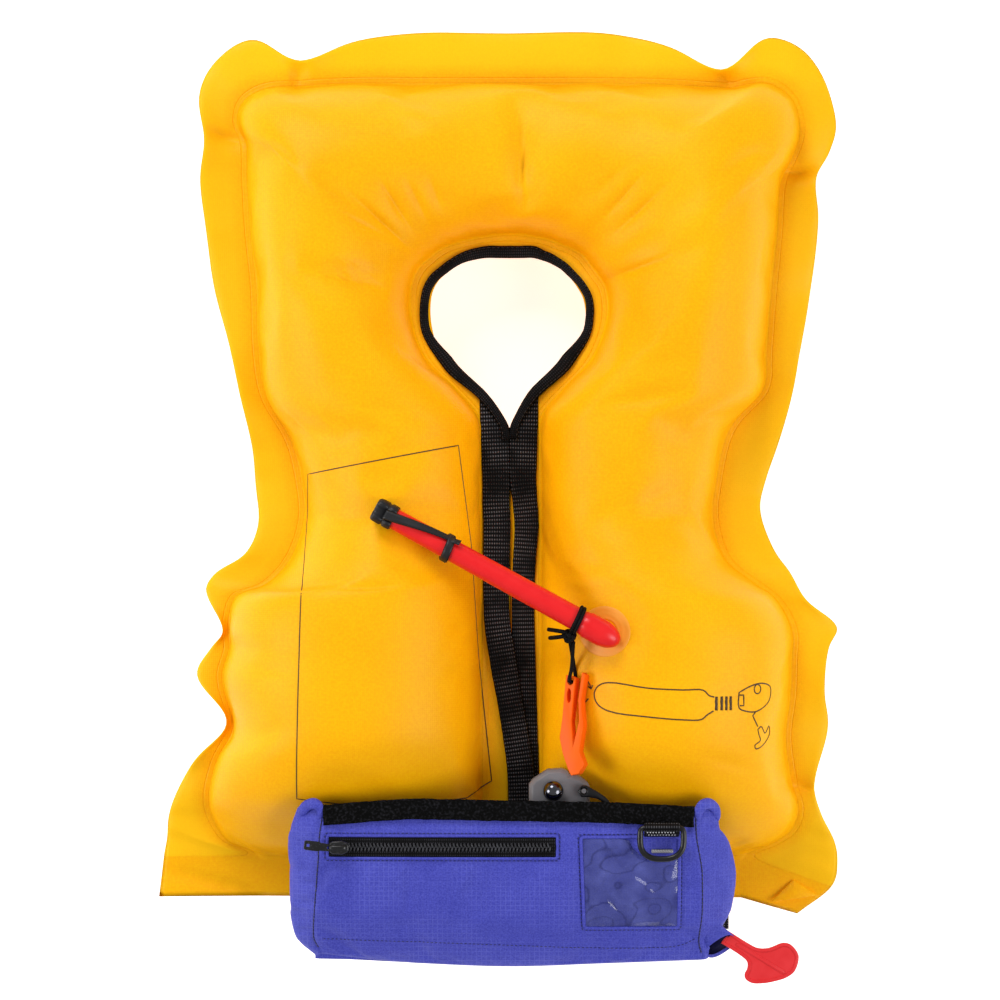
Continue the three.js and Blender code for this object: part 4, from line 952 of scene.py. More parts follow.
# %% Stitches
def stitches(shape, points, long, thick, pitch):
    """Sews along a line of points in mm: one stitch each pitch mm."""
    sewn, due = 0, pitch / 2
    for here, there in zip(points, points[1:]):
        step = there - here
        while due <= step.length:
            at = here + step * (due / max(step.length, 1e-6))
            turn = step.to_track_quat("X", "Z").to_matrix().to_4x4()
            size = Matrix.Diagonal((long / 2, thick / 2, thick / 2, 1))
            bmesh.ops.create_uvsphere(shape, u_segments=6, v_segments=4, radius=MM,
                                      matrix=Matrix.Translation(at * MM) @ turn @ size)
            sewn += 1
            due += pitch
        due -= step.length
    return sewn


shape = bmesh.new()
neck_seam = [at + across * 5.2 + up * 2.35 for at, across, up in neck_path]
count = stitches(shape, neck_seam, 2.4, 0.6, 3.2)
piece("neck_stitches", shape, black_thread)
print(count, "stitches")

# %% [markdown]
# ## Straps and belt
# Two webbing straps run down the slit from the neck to the waist belt, and lower down the left one laps
# over the right. Their tops are cut along the slope of the neck tape. Heights come from the CAD straps.

# %% Straps and belt
WEBBING = flat_strip(17.8, 1.6)
STRAPS = {  # y, middle x and share of the width seen at each place, in mm, and which way is outside
    "strap_left": (-1, [
        (50.5, -2.7, 1.1), (15.5, -1.4, 1.01), (2, -1.5, 1), (-13.8, -0.9, 1), (-36.5, -1.2, 0.98),
        (-62.5, -1.4, 0.94), (-78.5, -0.5, 0.95), (-104, 3.4, 0.96), (-129.5, 7.8, 0.92),
        (-153.5, 11.8, 0.95), (-170, 14.2, 0.98), (-196.5, 15.4, 1), (-214.5, 15.0, 1), (-226.5, 14.2, 1),
        (-267.5, 13.6, 1)]),
    "strap_right": (1, [
        (50.5, 16.6, 1.1), (15.5, 16.0, 0.98), (6, 16.9, 0.93), (-13.8, 18.3, 0.88), (-36.5, 17.0, 0.84),
        (-62.5, 16.0, 0.82), (-95, 16.4, 0.86), (-127.5, 16.8, 0.92), (-170, 17.8, 0.95), (-196.5, 18.4, 1),
        (-226.5, 18.8, 1), (-267.5, 18.8, 1)]),
}
TOP_SLOPE, SLOPE_FROM, SLOPE_OVER = 19, 26.5, 20
STRAP_TOP = 45.5  # the CAD straps reach up to here
STRAP_HALF = 0.8  # half the thickness of a strap
for name, (outside, line) in STRAPS.items():
    line = [Vector((x, y, share)) for y, x, share in line]
    points = [through(line, k / 120) for k in range(121)]
    shares = [at.z + 0.03 * noise.noise((outside, at.y / 3, 0)) for at in points]
    height = 53
    for at in points:
        height = height_on(cad[name], at.x, min(at.y, STRAP_TOP), height + STRAP_HALF) - STRAP_HALF
        at.z = height
    for turn in range(3):
        levels = [(points[max(k - 1, 0)].z + at.z + points[min(k + 1, 120)].z) / 3
                  for k, at in enumerate(points)]
        for at, level in zip(points, levels):
            at.z = level
    shape = bmesh.new()
    straight = stations_along(points, (1, 0, 0))
    path = [(at, across * share, up) for (at, across, up), share in zip(straight, shares)]
    middle = line[0].x
    for vert in swept(shape, WEBBING, path):
        if vert.is_valid:
            near_top = max(vert.co.y / MM - SLOPE_FROM, 0) / SLOPE_OVER
            higher = near_top * TOP_SLOPE * MM * (0.5 + outside * (vert.co.x / MM - middle) / 17)
            vert.co.y += higher
            for loop in vert.link_loops:
                loop[shape.loops.layers.uv["strip"]].uv.y -= higher
    piece("webbing_" + name, shape, webbing, [name])

low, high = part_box("waist_belt")
belt_y = (low.y + high.y) / 2 / MM
points = []
for k in range(61):
    x = between(low.x / MM + 0.5, high.x / MM - 0.5, k / 60)
    points.append(Vector((x, belt_y, height_on(cad["waist_belt"], x, belt_y, 62) - 0.9)))
shape = bmesh.new()
swept(shape, flat_strip(28, 1.8, 14), stations_along(points, (0, 1, 0)))
piece("belt_webbing", shape, webbing, ["waist_belt"])

# %% [markdown]
# ## Oral tube
# A soft vinyl tube that is blown into by mouth. It leaves the bladder through a welded disc, bends over
# at once and lies across to the left lobe. The bullet end and the straight run are one outline whose
# radius changes along the line.

# %% Oral tube
ELBOW = Vector((56.4, 175.3, 124.5)) + SHIFT
TUBE_WAY = Vector((-0.875, 0.4806, -0.0577)).normalized()
TUBE_SIDE = Vector((0.2886, 0.6138, 0.7348)).normalized()
TUBE_TURN = TUBE_WAY.cross(TUBE_SIDE)
TUBE_RADIUS = 7.15
TUBE_LONG = 150
TUBE_TAPER = (1.06, 0.92)
FITTING_END, FITTING_FADE = 11.5, 2.5  # the thicker root ends this far along
OFF_TUBE = 1.2  # middle of what is wrapped round the tube, over its skin
WRAP_AT = 15
PORT = Vector((60.0, 175.0, 115.0)) + SHIFT


def on_tube(far, side=0, turn=0):
    """A place by its distance from the elbow, and sideways from the tube's middle line."""
    return ELBOW + TUBE_WAY * far + TUBE_SIDE * side + TUBE_TURN * turn


shape = bmesh.new()
tip = -14.6
BULLET = 14
stops = [tip + BULLET * (1 - math.cos(math.pi / 2 * k / 12)) for k in range(1, 13)]
stops += [between(stops[-1], TUBE_LONG, k / 80) for k in range(1, 81)]
tube_path = []
for far in stops:
    bullet = min((far - tip) / BULLET, 1)
    grow = math.sqrt(1 - (1 - bullet) ** 2) * between(*TUBE_TAPER, max(far - WRAP_AT, 0) / TUBE_LONG)
    fitting = min(max((FITTING_END - far) / FITTING_FADE, 0), 1)
    grow *= 1 + 0.12 * fitting - 0.04 * math.exp(-((far - WRAP_AT) / 3) ** 2)
    tube_path.append((on_tube(far), TUBE_SIDE * grow, TUBE_TURN * grow))
swept(shape, ring_of(TUBE_RADIUS, 28), tube_path)
port_up = (ELBOW - PORT).normalized()
port_side = port_up.orthogonal().normalized()
port_turn = port_up.cross(port_side)
foot = [(PORT + port_up * far, port_side * grow, port_turn * grow)
        for far, grow in ((0.6, 1.22), (1.4, 1.06), (3, 1), (9, 0.95))]
swept(shape, ring_of(6.4, 24), foot)
piece("mouth_tube", shape, red_tube, ["oral_tube"])

# %% [markdown]
# The weld disc is thin film pressed on the skin, with rings left by the welding tool. It takes its
# height from the blown-up bladder, so it lies on it everywhere.

# %% Weld disc
DISC_INNER, DISC_OUTER = 7.9, 16.2
shape = bmesh.new()


def disc_point(u, v):
    """A point of the disc: u goes round it and v outwards."""
    radius = between(DISC_INNER, DISC_OUTER, v)
    x = PORT.x + radius * math.cos(2 * math.pi * u)
    y = PORT.y + radius * math.sin(2 * math.pi * u)
    rings = 0.07 * math.cos(v * 5 * math.pi)
    return Vector((x, y, height_on(bladder_top, x, y, PORT.z) + 0.32 + rings)) * MM


disc = laid_grid(shape, 48, 12, disc_point)
bmesh.ops.remove_doubles(shape, verts=disc, dist=1e-7)
thickened(shape, 0.35)
piece("weld_disc", shape, weld_film, ["tube_flange"])

# %% [markdown]
# The dust cap has four lobes to grip, and a recess in its end. Its tether is a flat rubber strip along the
# tube to a ring band, with a short stub that stands off the band.

# %% Dust cap and tether
def round_tube(far, lean, points):
    """Stations of a loop round the tube, which leans along it."""
    path = []
    for k in range(points):
        angle = 2 * math.pi * k / points
        out = TUBE_SIDE * math.cos(angle) + TUBE_TURN * math.sin(angle)
        at = on_tube(far + 7 * lean * math.sin(angle)) + out * (TUBE_RADIUS + OFF_TUBE)
        path.append((at, TUBE_WAY, out))
    return path


shape = bmesh.new()
CAP_STEPS = [(-1.5, 0.9), (-0.9, 1.0), (3.6, 1.0), (4.2, 0.9), (5.0, 0.9), (5.6, 1.0), (10.6, 0.98),
             (12, 0.93), (12.6, 0.82), (12.7, 0.55), (8.5, 0.5)]
CAP_RADIUS, CAP_GRIP = 7.5, 1.7
lobes = []
for k in range(64):
    angle = 2 * math.pi * k / 64
    radius = CAP_RADIUS + CAP_GRIP * math.tanh(3 * math.cos(4 * angle))
    lobes.append((radius * math.cos(angle), radius * math.sin(angle)))
cap_path = [(on_tube(TUBE_LONG + far), TUBE_SIDE * grow, TUBE_TURN * grow) for far, grow in CAP_STEPS]
swept(shape, lobes, cap_path)
piece("dust_cap", shape, black_rubber, ["tube_cap"])

shape = bmesh.new()
BAND_AT = TUBE_LONG - 40
BAND_TILT = 0.22
swept(shape, flat_strip(5.4, 1.6, 4), round_tube(BAND_AT, BAND_TILT, 40), loop=True)
strip_path = []
for k in range(33):
    share = k / 32
    angle = math.radians(between(8, -46, share))
    out = TUBE_SIDE * math.cos(angle) + TUBE_TURN * math.sin(angle)
    lift = TUBE_RADIUS + 0.9 + 0.9 * math.sin(math.pi * share)
    wide = between(0.85, 1.25, share)
    strip_path.append((on_tube(BAND_AT + 45 * share) + out * lift, TUBE_WAY.cross(out) * wide, out))
swept(shape, flat_strip(5.4, 1.6, 4), strip_path)
stub_line = [on_tube(BAND_AT + 1, TUBE_RADIUS + 1), on_tube(BAND_AT - 6, TUBE_RADIUS + 3.0)]
swept(shape, flat_strip(4.6, 1.6, 3), [(at, TUBE_TURN, TUBE_SIDE) for at in stub_line])
piece("cap_strap", shape, black_rubber, ["cap_tether"])

# %% [markdown]
# ## Lanyard
# The whistle hangs on a thin braided cord. The cord is hitched twice round the tube and knotted, with two
# short tails, and from the knot a loop goes down through the whistle's eye and back. The loop is the free
# length, so it is swept as a cord through the points of its route; the knot is made of small turns.

# %% Lanyard
CORD = 2.4
KNOT = Vector((38.8, 173.3, 120.4)) + SHIFT
ROUTE = [Vector(p) + SHIFT for p in (
    (40.2, 169.0, 120.4), (38.9, 151.2, 117.2), (37.4, 144.0, 116.4), (38.2, 143.1, 114.6),
    (39.7, 142.8, 110.9), (41.2, 142.6, 107.2), (41.8, 144.2, 106.0), (41.0, 150.9, 106.4),
    (37.9, 169.0, 120.4))]


def cord_path(points, steps):
    """Stations for a round cord through some points."""
    line = [through(points, k / steps) for k in range(steps + 1)]
    ahead = [(line[min(k + 1, steps)] - line[max(k - 1, 0)]).normalized() for k in range(steps + 1)]
    side = ahead[0].orthogonal().normalized()
    path = []
    for at, way in zip(line, ahead):
        side = (side - way * side.dot(way)).normalized()
        path.append((at, side, way.cross(side)))
    return path


shape = bmesh.new()
loop_path = cord_path(ROUTE, 64)
swept(shape, ring_of(CORD / 2, 10), loop_path)
lanyard = piece("lanyard_loop", shape, braid, ["whistle_lanyard"])

shape = bmesh.new()
for far, lean in ((-0.7, 0.12), (1.5, 0.1)):
    swept(shape, ring_of(CORD / 2, 8), round_tube(WRAP_AT + far, lean, 36), loop=True)
KNOT_TURNS = [((0.3, 0.8, 0.5), 3.1, (-0.6, 0.6, 0)), ((0.8, -0.2, 0.6), 3.0, (0.4, -0.8, 0.3)),
              ((-0.5, 0.5, 0.7), 2.9, (-1.2, -2.0, 0)), ((0.1, 0.3, 0.9), 2.6, (-2.4, -0.4, 0.6))]
for axis, radius, offset in KNOT_TURNS:
    axis = Vector(axis).normalized()
    side = axis.orthogonal().normalized()
    turn = axis.cross(side)
    coil = []
    for k in range(20):
        angle = 2 * math.pi * k / 20
        out = side * math.cos(angle) + turn * math.sin(angle)
        coil.append((KNOT + Vector(offset) + out * radius, axis, out))
    swept(shape, ring_of(CORD / 2, 8), coil, loop=True)
TAILS = [((-4, 1.5, 2.0), (-9, 2.4, 1.0), (-14.5, 3.0, -6)),
         ((-4, -1, 1.0), (-9, -1.8, -1.0), (-13.5, -2.5, -9))]
for tail in TAILS:
    swept(shape, ring_of(CORD / 2 + 0.15, 8),
          cord_path([KNOT + Vector(p) for p in ((0, 0, 0), *tail)], 14))
piece("lanyard_hitch", shape, braid, ["lanyard_knot"])

# %% [markdown]
# ## Whistle
# A flat whistle moulded in one piece: two bars that meet at the mouthpiece, an eye at the top and a sound
# window in the left bar. The outline and its two holes are filled, drawn out to the whistle's depth, and
# every sharp edge gets a small round, as a mould gives.

# %% Whistle
def outline_edges(shape, points):
    """A closed line of points in mm, as edges."""
    verts = [shape.verts.new(Vector((x, y, 0)) * MM) for x, y in points]
    return [shape.edges.new((a, b)) for a, b in zip(verts, verts[1:] + verts[:1])]


def eased(shape, edges, size, segments):
    """Rounds edges by a size in mm."""
    bmesh.ops.bevel(shape, geom=edges, offset=size * MM, offset_type="OFFSET", affect="EDGES",
                    segments=segments, profile=0.5, material=-1, clamp_overlap=True)


def drawn_out(outlines, depth, rounding, segments=2):
    """A plate with holes: outlines filled, drawn out to a depth, and rounded at its edges, in mm."""
    shape = bmesh.new()
    edges = [e for points in outlines for e in outline_edges(shape, points)]
    bmesh.ops.triangle_fill(shape, edges=edges, use_beauty=True)
    bmesh.ops.dissolve_limit(shape, angle_limit=0.01, verts=shape.verts, edges=shape.edges)
    drawn = bmesh.ops.extrude_face_region(shape, geom=shape.faces[:])["geom"]
    up = Vector((0, 0, depth * MM))
    bmesh.ops.translate(shape, vec=up, verts=[g for g in drawn if isinstance(g, bmesh.types.BMVert)])
    bmesh.ops.recalc_face_normals(shape, faces=shape.faces)
    sharp = [e for e in shape.edges if len(e.link_faces) == 2 and e.calc_face_angle(0) > 0.9
             and abs(e.verts[0].co.z - e.verts[1].co.z) < 1e-7]
    eased(shape, sharp, rounding, segments)
    return shape


WHISTLE_AT = Matrix.Translation((Vector((42, 147, 107.24)) + SHIFT) * MM)
WHISTLE_TURN = (Matrix.Rotation(math.radians(-4), 4, "X") @ Matrix.Rotation(math.radians(-22), 4, "Y"))
LEFT_BAR = [(-3.8, 0), (-5.2, -14), (-6.4, -27), (-8.3, -40), (-6.2, -50), (-2.6, -60), (-0.6, -64)]
MOUTHPIECE = [(4.5, -63), (8.3, -57), (5.1, -48.6)]
RIGHT_BAR = [(7.7, -32), (6.6, -22), (6.4, -16), (9.2, -0.4), (7, 1.3)]
SLIT = [(4.4, -16), (5, -29.4), (0.6, -46.7), (-0.4, -29.4), (1, -16), (2.6, -2)]
EYE = [(x - 0.9, y - 4.4) for x, y in ring_of(2, 14)]
SOUND_WINDOW = [(1.5 * x - 1.9 + 0.09 * y, 4.7 * y - 13.3) for x, y in ring_of(1, 16)]
shape = drawn_out([LEFT_BAR + MOUTHPIECE + RIGHT_BAR + SLIT, EYE, SOUND_WINDOW], 8, 0.95, 3)
bmesh.ops.transform(shape, matrix=WHISTLE_AT @ WHISTLE_TURN, verts=shape.verts)
signal_whistle = piece("signal_whistle", shape, orange_abs, ["whistle"])

# %% [markdown]
# ## Inflator
# The manual inflator lies in the pouch's mouth: a glass-filled nylon body with chamfered edges, a chromed
# cap nut that holds it on the bladder's stem, and a black lever on a post that swings when it is pulled.

# %% Inflator
def part_xy(points):
    """Outline points from the section table's frame to the part's."""
    return [(x + SHIFT.x, y + SHIFT.y) for x, y in points]


FACET = 0.5  # edges sharper than this, in radians, stay crisp
BODY_FOOT, BODY_TALL = 86.57, 17
BODY = part_xy([(12, 76.5), (14.5, 80), (24, 86.2), (33, 86.8), (36.5, 85.4), (38, 83), (40.5, 83.6),
                (45, 81.5), (49.5, 78), (51, 75), (51, 56), (46, 50.5), (16, 50.5), (12, 56)])
NUT_AT = Vector((27.5, 73, 0)) + SHIFT
LEVER_PIN = Vector((47, 73, 0)) + SHIFT
BODY_TOP = BODY_FOOT + BODY_TALL
shape = drawn_out([BODY], BODY_TALL, 3.4, 1)
bmesh.ops.translate(shape, vec=Vector((0, 0, BODY_FOOT * MM)), verts=shape.verts)
soft_edges = [e for e in shape.edges if len(e.link_faces) == 2 and e.calc_face_angle(0) > 0.3]
eased(shape, soft_edges, 0.35, 2)
for middle, radius, foot, tall in ((LEVER_PIN, 1.65, BODY_TOP - 1, 4.9), (NUT_AT, 8.3, BODY_TOP - 1, 1.2)):
    bmesh.ops.create_cone(shape, cap_ends=True, segments=40, radius1=radius * MM, radius2=radius * 0.94 * MM,
                          depth=tall * MM,
                          matrix=Matrix.Translation((middle + Vector((0, 0, foot + tall / 2))) * MM))
housing = piece("inflator_housing", shape, grey_nylon, ["inflator_body"])
housing.data.set_sharp_from_angle(angle=FACET)
nodes["inflator_stem"].data.materials.clear()
nodes["inflator_stem"].data.materials.append(black_rubber)

shape = bmesh.new()
NUT_FOOT = BODY_TOP + 0.4
bmesh.ops.create_cone(shape, cap_ends=True, segments=6, radius1=6.6 * MM, radius2=6.6 * MM, depth=4 * MM,
                      matrix=Matrix.Translation((NUT_AT + Vector((0, 0, NUT_FOOT + 2))) * MM))
eased(shape, shape.edges[:], 0.5, 2)
dome = bmesh.ops.create_uvsphere(shape, u_segments=40, v_segments=24, radius=6.6 * MM,
                                 matrix=Matrix.Translation((NUT_AT + Vector((0, 0, NUT_FOOT + 3.4))) * MM))
below = [v for v in dome["verts"] if v.co.z < (NUT_FOOT + 3) * MM]
bmesh.ops.delete(shape, geom=below, context="VERTS")
bmesh.ops.holes_fill(shape, edges=[e for e in shape.edges if e.is_boundary])
piece("chrome_nut", shape, chrome, ["cap_nut"])

LEVER = [(-3.6, -1.6), (-2.6, 2.6), (0, 3.9), (3, 3.6), (8, 2.9), (14, 1.6), (19, -0.6), (21, -2.6),
         (20.4, -4.6), (18.6, -4.4), (15, -2.2), (10, -1.5), (4, -2.6), (0, -4)]
shape = drawn_out([LEVER, ring_of(2.15, 16)], 4, 0.9)
bmesh.ops.transform(shape, verts=shape.verts, matrix=Matrix.Translation(
    (LEVER_PIN + Vector((0, 0, NUT_FOOT))) * MM) @ Matrix.Rotation(math.radians(-22), 4, "Z"))
piece("release_lever", shape, black_acetal, ["inflator_lever"], body="lever")

# %% [markdown]
# ## Pouch
# The waist pouch is sewn from ripstop: a front panel, a back panel and a gusset on each side, with an
# open mouth at the top. It is one grid laid round the pouch, whose rings go from the mouth down to the
# foot. The rings are tighter at the sewn seams, and a groove is pressed where a seam pulls the cloth in.

# %% Pouch shell
LEVELS = [  # front y, back y, front z, back z, left and right seam x, left and right fold x, share of sag
    (66, 47, 116, 89, -120, 118, -136, 131, 0),
    (55, 40, 118, 84, -121, 119, -141, 135, 0),
    (44, 33, 119, 77, -122.5, 119.6, -142, 140, 0),
    (21, 14, 117, 64, -124, 123.2, -141, 144, 0),
    (-4, -6, 110, 61, -126, 123.6, -140.5, 141, 0.2),
    (-23, -23, 99, 66, -127, 122, -137, 132, 0.6),
    (-34, -34, 92, 74, -123, 124.5, -125.5, 127.5, 1),
]
MOUTH_WAVE = [-2, 2, 1, 0, -3]
HEM_SAG = [3.2, -2.8, -5, -3, -0.8]
EAR = 6
MOUTH_FADE = 6  # the mouth's own shape is gone a sixth of the way down
SEAM_PUCKER = 1.5
CLOTH = 1.1
ZIP = {"left": -115.5, "right": 29, "top": 44.4, "bottom": 31.8}
WINDOW = {"left": 45.5, "right": 107, "top": 43.8, "bottom": -14, "slant": 2.4}
FRONT_CELLS, GUSSET_CELLS, BACK_CELLS = 76, 14, 34
DOWN_CELLS, FOOT_CELLS = 46, 4
RING_CELLS = FRONT_CELLS + BACK_CELLS + 2 * GUSSET_CELLS


def level_at(share):
    """The nine numbers of a level at a share of the way down."""
    trios = [[Vector(row[k:k + 3]) for row in LEVELS] for k in (0, 3, 6)]
    return [number for trio in trios for number in through(trio, share)]


def gathered(share):
    """Spreads the front's cells so that they are closer together at both seams."""
    return share - 0.085 * math.sin(4 * math.pi * share) / (2 * math.pi) - 0.06 * math.sin(
        2 * math.pi * share) / math.pi


def front_at(share, across):
    """A point of the front panel in the table's frame, with across from seam to seam."""
    front, _, front_z, back_z, seam_l, seam_r, _, _, sag = level_at(share)
    mouth = max(1 - share * MOUTH_FADE, 0)
    flatness = min((front_z - back_z) / 40, 1)
    y = front + curve(MOUTH_WAVE, across) * mouth + curve(HEM_SAG, across) * sag
    z = front_z - 4 + 4 * (1 - (2 * across - 1) ** 2) * flatness
    return Vector((between(seam_l, seam_r, across), y, z))


def ring_at(share, turn):
    """A point of the ring at a share of the way down; turn goes round it in cells."""
    front, back, front_z, back_z, seam_l, seam_r, fold_l, fold_r, _ = level_at(share)
    mouth = max(1 - share * MOUTH_FADE, 0)
    fold_y, fold_z = (front + back) / 2 + EAR * mouth, (front_z + back_z) / 2
    right_back = Vector((between(seam_r, fold_r, 0.5), back, back_z + 1))
    left_back = Vector((between(seam_l, fold_l, 0.5), back, back_z + 1))
    if turn <= FRONT_CELLS:
        return front_at(share, gathered(turn / FRONT_CELLS))
    turn -= FRONT_CELLS
    if turn <= GUSSET_CELLS:
        return through([front_at(share, 1), Vector((fold_r, fold_y, fold_z)), right_back],
                       turn / GUSSET_CELLS)
    turn -= GUSSET_CELLS
    if turn <= BACK_CELLS:
        low = Vector((0, back + HEM_SAG[2] * max(6 * share - 5, 0), back_z))
        return through([right_back, low, left_back], turn / BACK_CELLS)
    turn -= BACK_CELLS
    return through([left_back, Vector((fold_l, fold_y, fold_z)), front_at(share, 0)], turn / GUSSET_CELLS)


def bag_point(u, v):
    """A point of the pouch: rings down to the foot, then the foot's round."""
    turn, row = round(u * RING_CELLS) % RING_CELLS, round(v * (DOWN_CELLS + FOOT_CELLS))
    at = ring_at(min(row / DOWN_CELLS, 1), turn)
    seam = min(abs(turn - k) for k in (0, FRONT_CELLS, RING_CELLS))
    inward = Vector((0.5 if turn in (0, RING_CELLS) else -0.5, 0, -1))
    at += inward * {0: 1.5, 1: -0.25}.get(seam, 0)
    from_seam = min(abs(at.x - level_at(min(row / DOWN_CELLS, 1))[k]) for k in (4, 5))
    pucker = SEAM_PUCKER * noise.noise((at.y / 4.5, at.x / 60, 0.3)) * math.exp(-from_seam / 9)
    at.z += pucker * min(seam, 1)
    under = max(row - DOWN_CELLS, 0) / FOOT_CELLS
    middle = (LEVELS[-1][2] + LEVELS[-1][3]) / 2
    at.z = middle + (at.z - middle) * (0.08 + 0.92 * math.cos(under * math.pi / 2))
    at.y -= 2.6 * math.sin(under * math.pi / 2)
    return (at + SHIFT) * MM


def lies_in(at, frame, margin):
    """Whether a place in the table's frame lies within a frame and a margin round it."""
    return (frame["left"] - margin < at.x < frame["right"] + margin
            and frame["bottom"] - margin < at.y < frame["top"] + margin)


shape = bmesh.new()
bag_held = shape.verts.layers.float.new("held")
bag = laid_grid(shape, RING_CELLS, DOWN_CELLS + FOOT_CELLS, lambda u, v: Vector((u, v, 0)))
for vert in bag:
    u, v = vert.co.x, vert.co.y
    vert.co = bag_point(u, v)
    at = vert.co / MM - SHIFT
    turn, row = round(u * RING_CELLS) % RING_CELLS, round(v * (DOWN_CELLS + FOOT_CELLS))
    seam = min(abs(turn - k) for k in (0, FRONT_CELLS, RING_CELLS))
    front = turn <= FRONT_CELLS
    back = FRONT_CELLS + GUSSET_CELLS - 3 < turn < RING_CELLS - GUSSET_CELLS + 3
    fixed = row < 6 or row > DOWN_CELLS or seam < 1 or back
    fixed = fixed or (front and (lies_in(at, ZIP, 3) or lies_in(at, WINDOW, 3)))
    vert[bag_held] = 1.0 if fixed else 0.0
bmesh.ops.remove_doubles(shape, verts=bag, dist=1e-6)
foot_edges = [e for e in shape.edges
              if e.is_boundary and max(v.co.y for v in e.verts) < (SHIFT.y - 30) * MM]
bmesh.ops.holes_fill(shape, edges=foot_edges)
pouch = piece("pouch_cloth", shape, ripstop, ["pouch"])

# %% [markdown]
# The cloth sim gives the pouch its slack: seams, zip, window, mouth and back are pinned, and the rest is
# cut a little large and pushed out. Afterwards the cloth gets its thickness, inwards.

# %% Pouch slack
POUCH_CAP = 1.6
TUCKS = [  # middle x, y, direction, half length, half width, depth in mm, in the table's frame
    (-115, 22, 12, 9, 2.0, 1.2), (-114, 8, -14, 10, 2.2, 1.3), (-116, -8, 10, 8, 1.8, 1.2),
    (-112, -19, -22, 9, 2.0, 1.0), (113, 12, -8, 7, 1.8, 1.2), (114, -4, 16, 8, 2.0, 1.4),
    (112, -18, -20, 9, 2.0, 1.2), (-60, -13, 4, 26, 3.0, 0.9), (0, -17, -3, 30, 3.0, 0.9),
    (-20, 12, 8, 24, 4.0, 0.6), (130, 30, -30, 7, 2.0, 1.6), (130, 8, 24, 7, 2.0, 1.6),
    (-130, 24, 28, 6, 2.0, 1.4), (-131, 2, -24, 6, 2.0, 1.4), (128, -8, -10, 7, 1.8, 1.6),
    (-129, 14, 4, 7, 1.6, 1.2),
]
before = [v.co.copy() for v in pouch.data.vertices]
after = blown_up(pouch, frames=16, mass=0.2, stretch=15, shear=8, bend=0.15, pressure=1.2, spare=0.025)
furthest = 0
for vert, old, new in zip(pouch.data.vertices, before, after):
    move = capped(new - old, POUCH_CAP)
    furthest = max(furthest, move.length)
    vert.co = old + move
print("pouch cloth moved up to", round(furthest / MM, 1), "mm")
for vert, old in zip(pouch.data.vertices, before):
    at = old / MM - SHIFT
    if at.z > 80:
        vert.co.z -= pits(at.x, at.y, TUCKS, sharp=1.4) * MM
pouch.data.update()
thickness = pouch.modifiers.new("thickness", "SOLIDIFY")
thickness.thickness = CLOTH * MM
thickness.offset = -1
smoother(pouch)
pouch_front = surface_of(pouch)


def on_pouch(x, y, lift=0, otherwise=112):
    """A place in mm on the front of the pouch, from the table's x and y."""
    return Vector((x + SHIFT.x, y + SHIFT.y,
                   height_on(pouch_front, x + SHIFT.x, y + SHIFT.y, otherwise) + lift))


print("pouch front at its middle, mm:", round(on_pouch(0, 21).z, 1))

# %% [markdown]
# ## Seams and rolled corners of the pouch
# Both side seams, the hem line, the zip's welt and the window's frame are sewn with navy thread. At the
# mouth each gusset ends in a rolled hem that stands up like an ear, so a soft roll follows its edge.

# %% Pouch seams and ears
def leaning(x, y, frame):
    """Share of a frame's slant at a place: all of it at the lower left corner."""
    down = (frame["top"] - y) / (frame["top"] - frame["bottom"])
    return down * (frame["right"] - x) / (frame["right"] - frame["left"])


def round_rect(frame, margin, corner, step=2.0):
    """Points in the table's frame round a rectangle with round corners, with their outward directions."""
    ring = []
    sides = (frame["right"] + margin - corner, frame["left"] - margin + corner)
    ends = (frame["top"] + margin - corner, frame["bottom"] - margin + corner)
    for k, (x, y) in enumerate(((sides[0], ends[0]), (sides[1], ends[0]), (sides[1], ends[1]),
                                (sides[0], ends[1]))):
        for j in range(5):
            angle = math.pi / 2 * (k + j / 4)
            out = Vector((math.cos(angle), math.sin(angle), 0))
            ring.append((Vector((x, y, 0)) + out * corner, out))
    closer = []
    for (here, out), (there, other) in zip(ring, ring[1:] + ring[:1]):
        cells = max(round((there - here).length / step), 1)
        closer += [(here.lerp(there, k / cells), out.lerp(other, k / cells)) for k in range(cells)]
    for at, out in closer:
        at.x += frame.get("slant", 0) * leaning(at.x, at.y, frame)
    return closer


def round_frame(frame, margin, corner, lift):
    """Stations of a strip laid on the pouch round a frame."""
    return [(on_pouch(at.x, at.y, lift), out, Vector((0, 0, 1))) for at, out in
            round_rect(frame, margin, corner)]


HEM_LINE = [Vector(p) for p in ((-120.5, -22.6, 0), (-70, -23.8, 0), (-6, -26, 0), (70, -28.6, 0),
                                (108, -27.0, 0), (120, -22.2, 0))]
shape = bmesh.new()
count = 0
for across, aside in ((0, 0.9), (1, -0.9)):
    seam = [front_at(between(0.1, 0.97, k / 60), across) for k in range(61)]
    count += stitches(shape, [on_pouch(at.x + aside, at.y, 0.3, at.z) for at in seam], 3.1, 1.0, 2.7)
hem = [through(HEM_LINE, k / 120) for k in range(121)]
count += stitches(shape, [on_pouch(at.x, at.y, 0.15) for at in hem], 2.0, 0.55, 2.7)
for frame_of, margin in ((ZIP, 2.5), (WINDOW, 2.3)):
    line = [at for at, *_ in round_frame(frame_of, margin, 2, 0.2)]
    count += stitches(shape, line + line[:1], 2.0, 0.55, 2.7)
piece("pouch_stitches", shape, navy_thread)
print(count, "stitches")

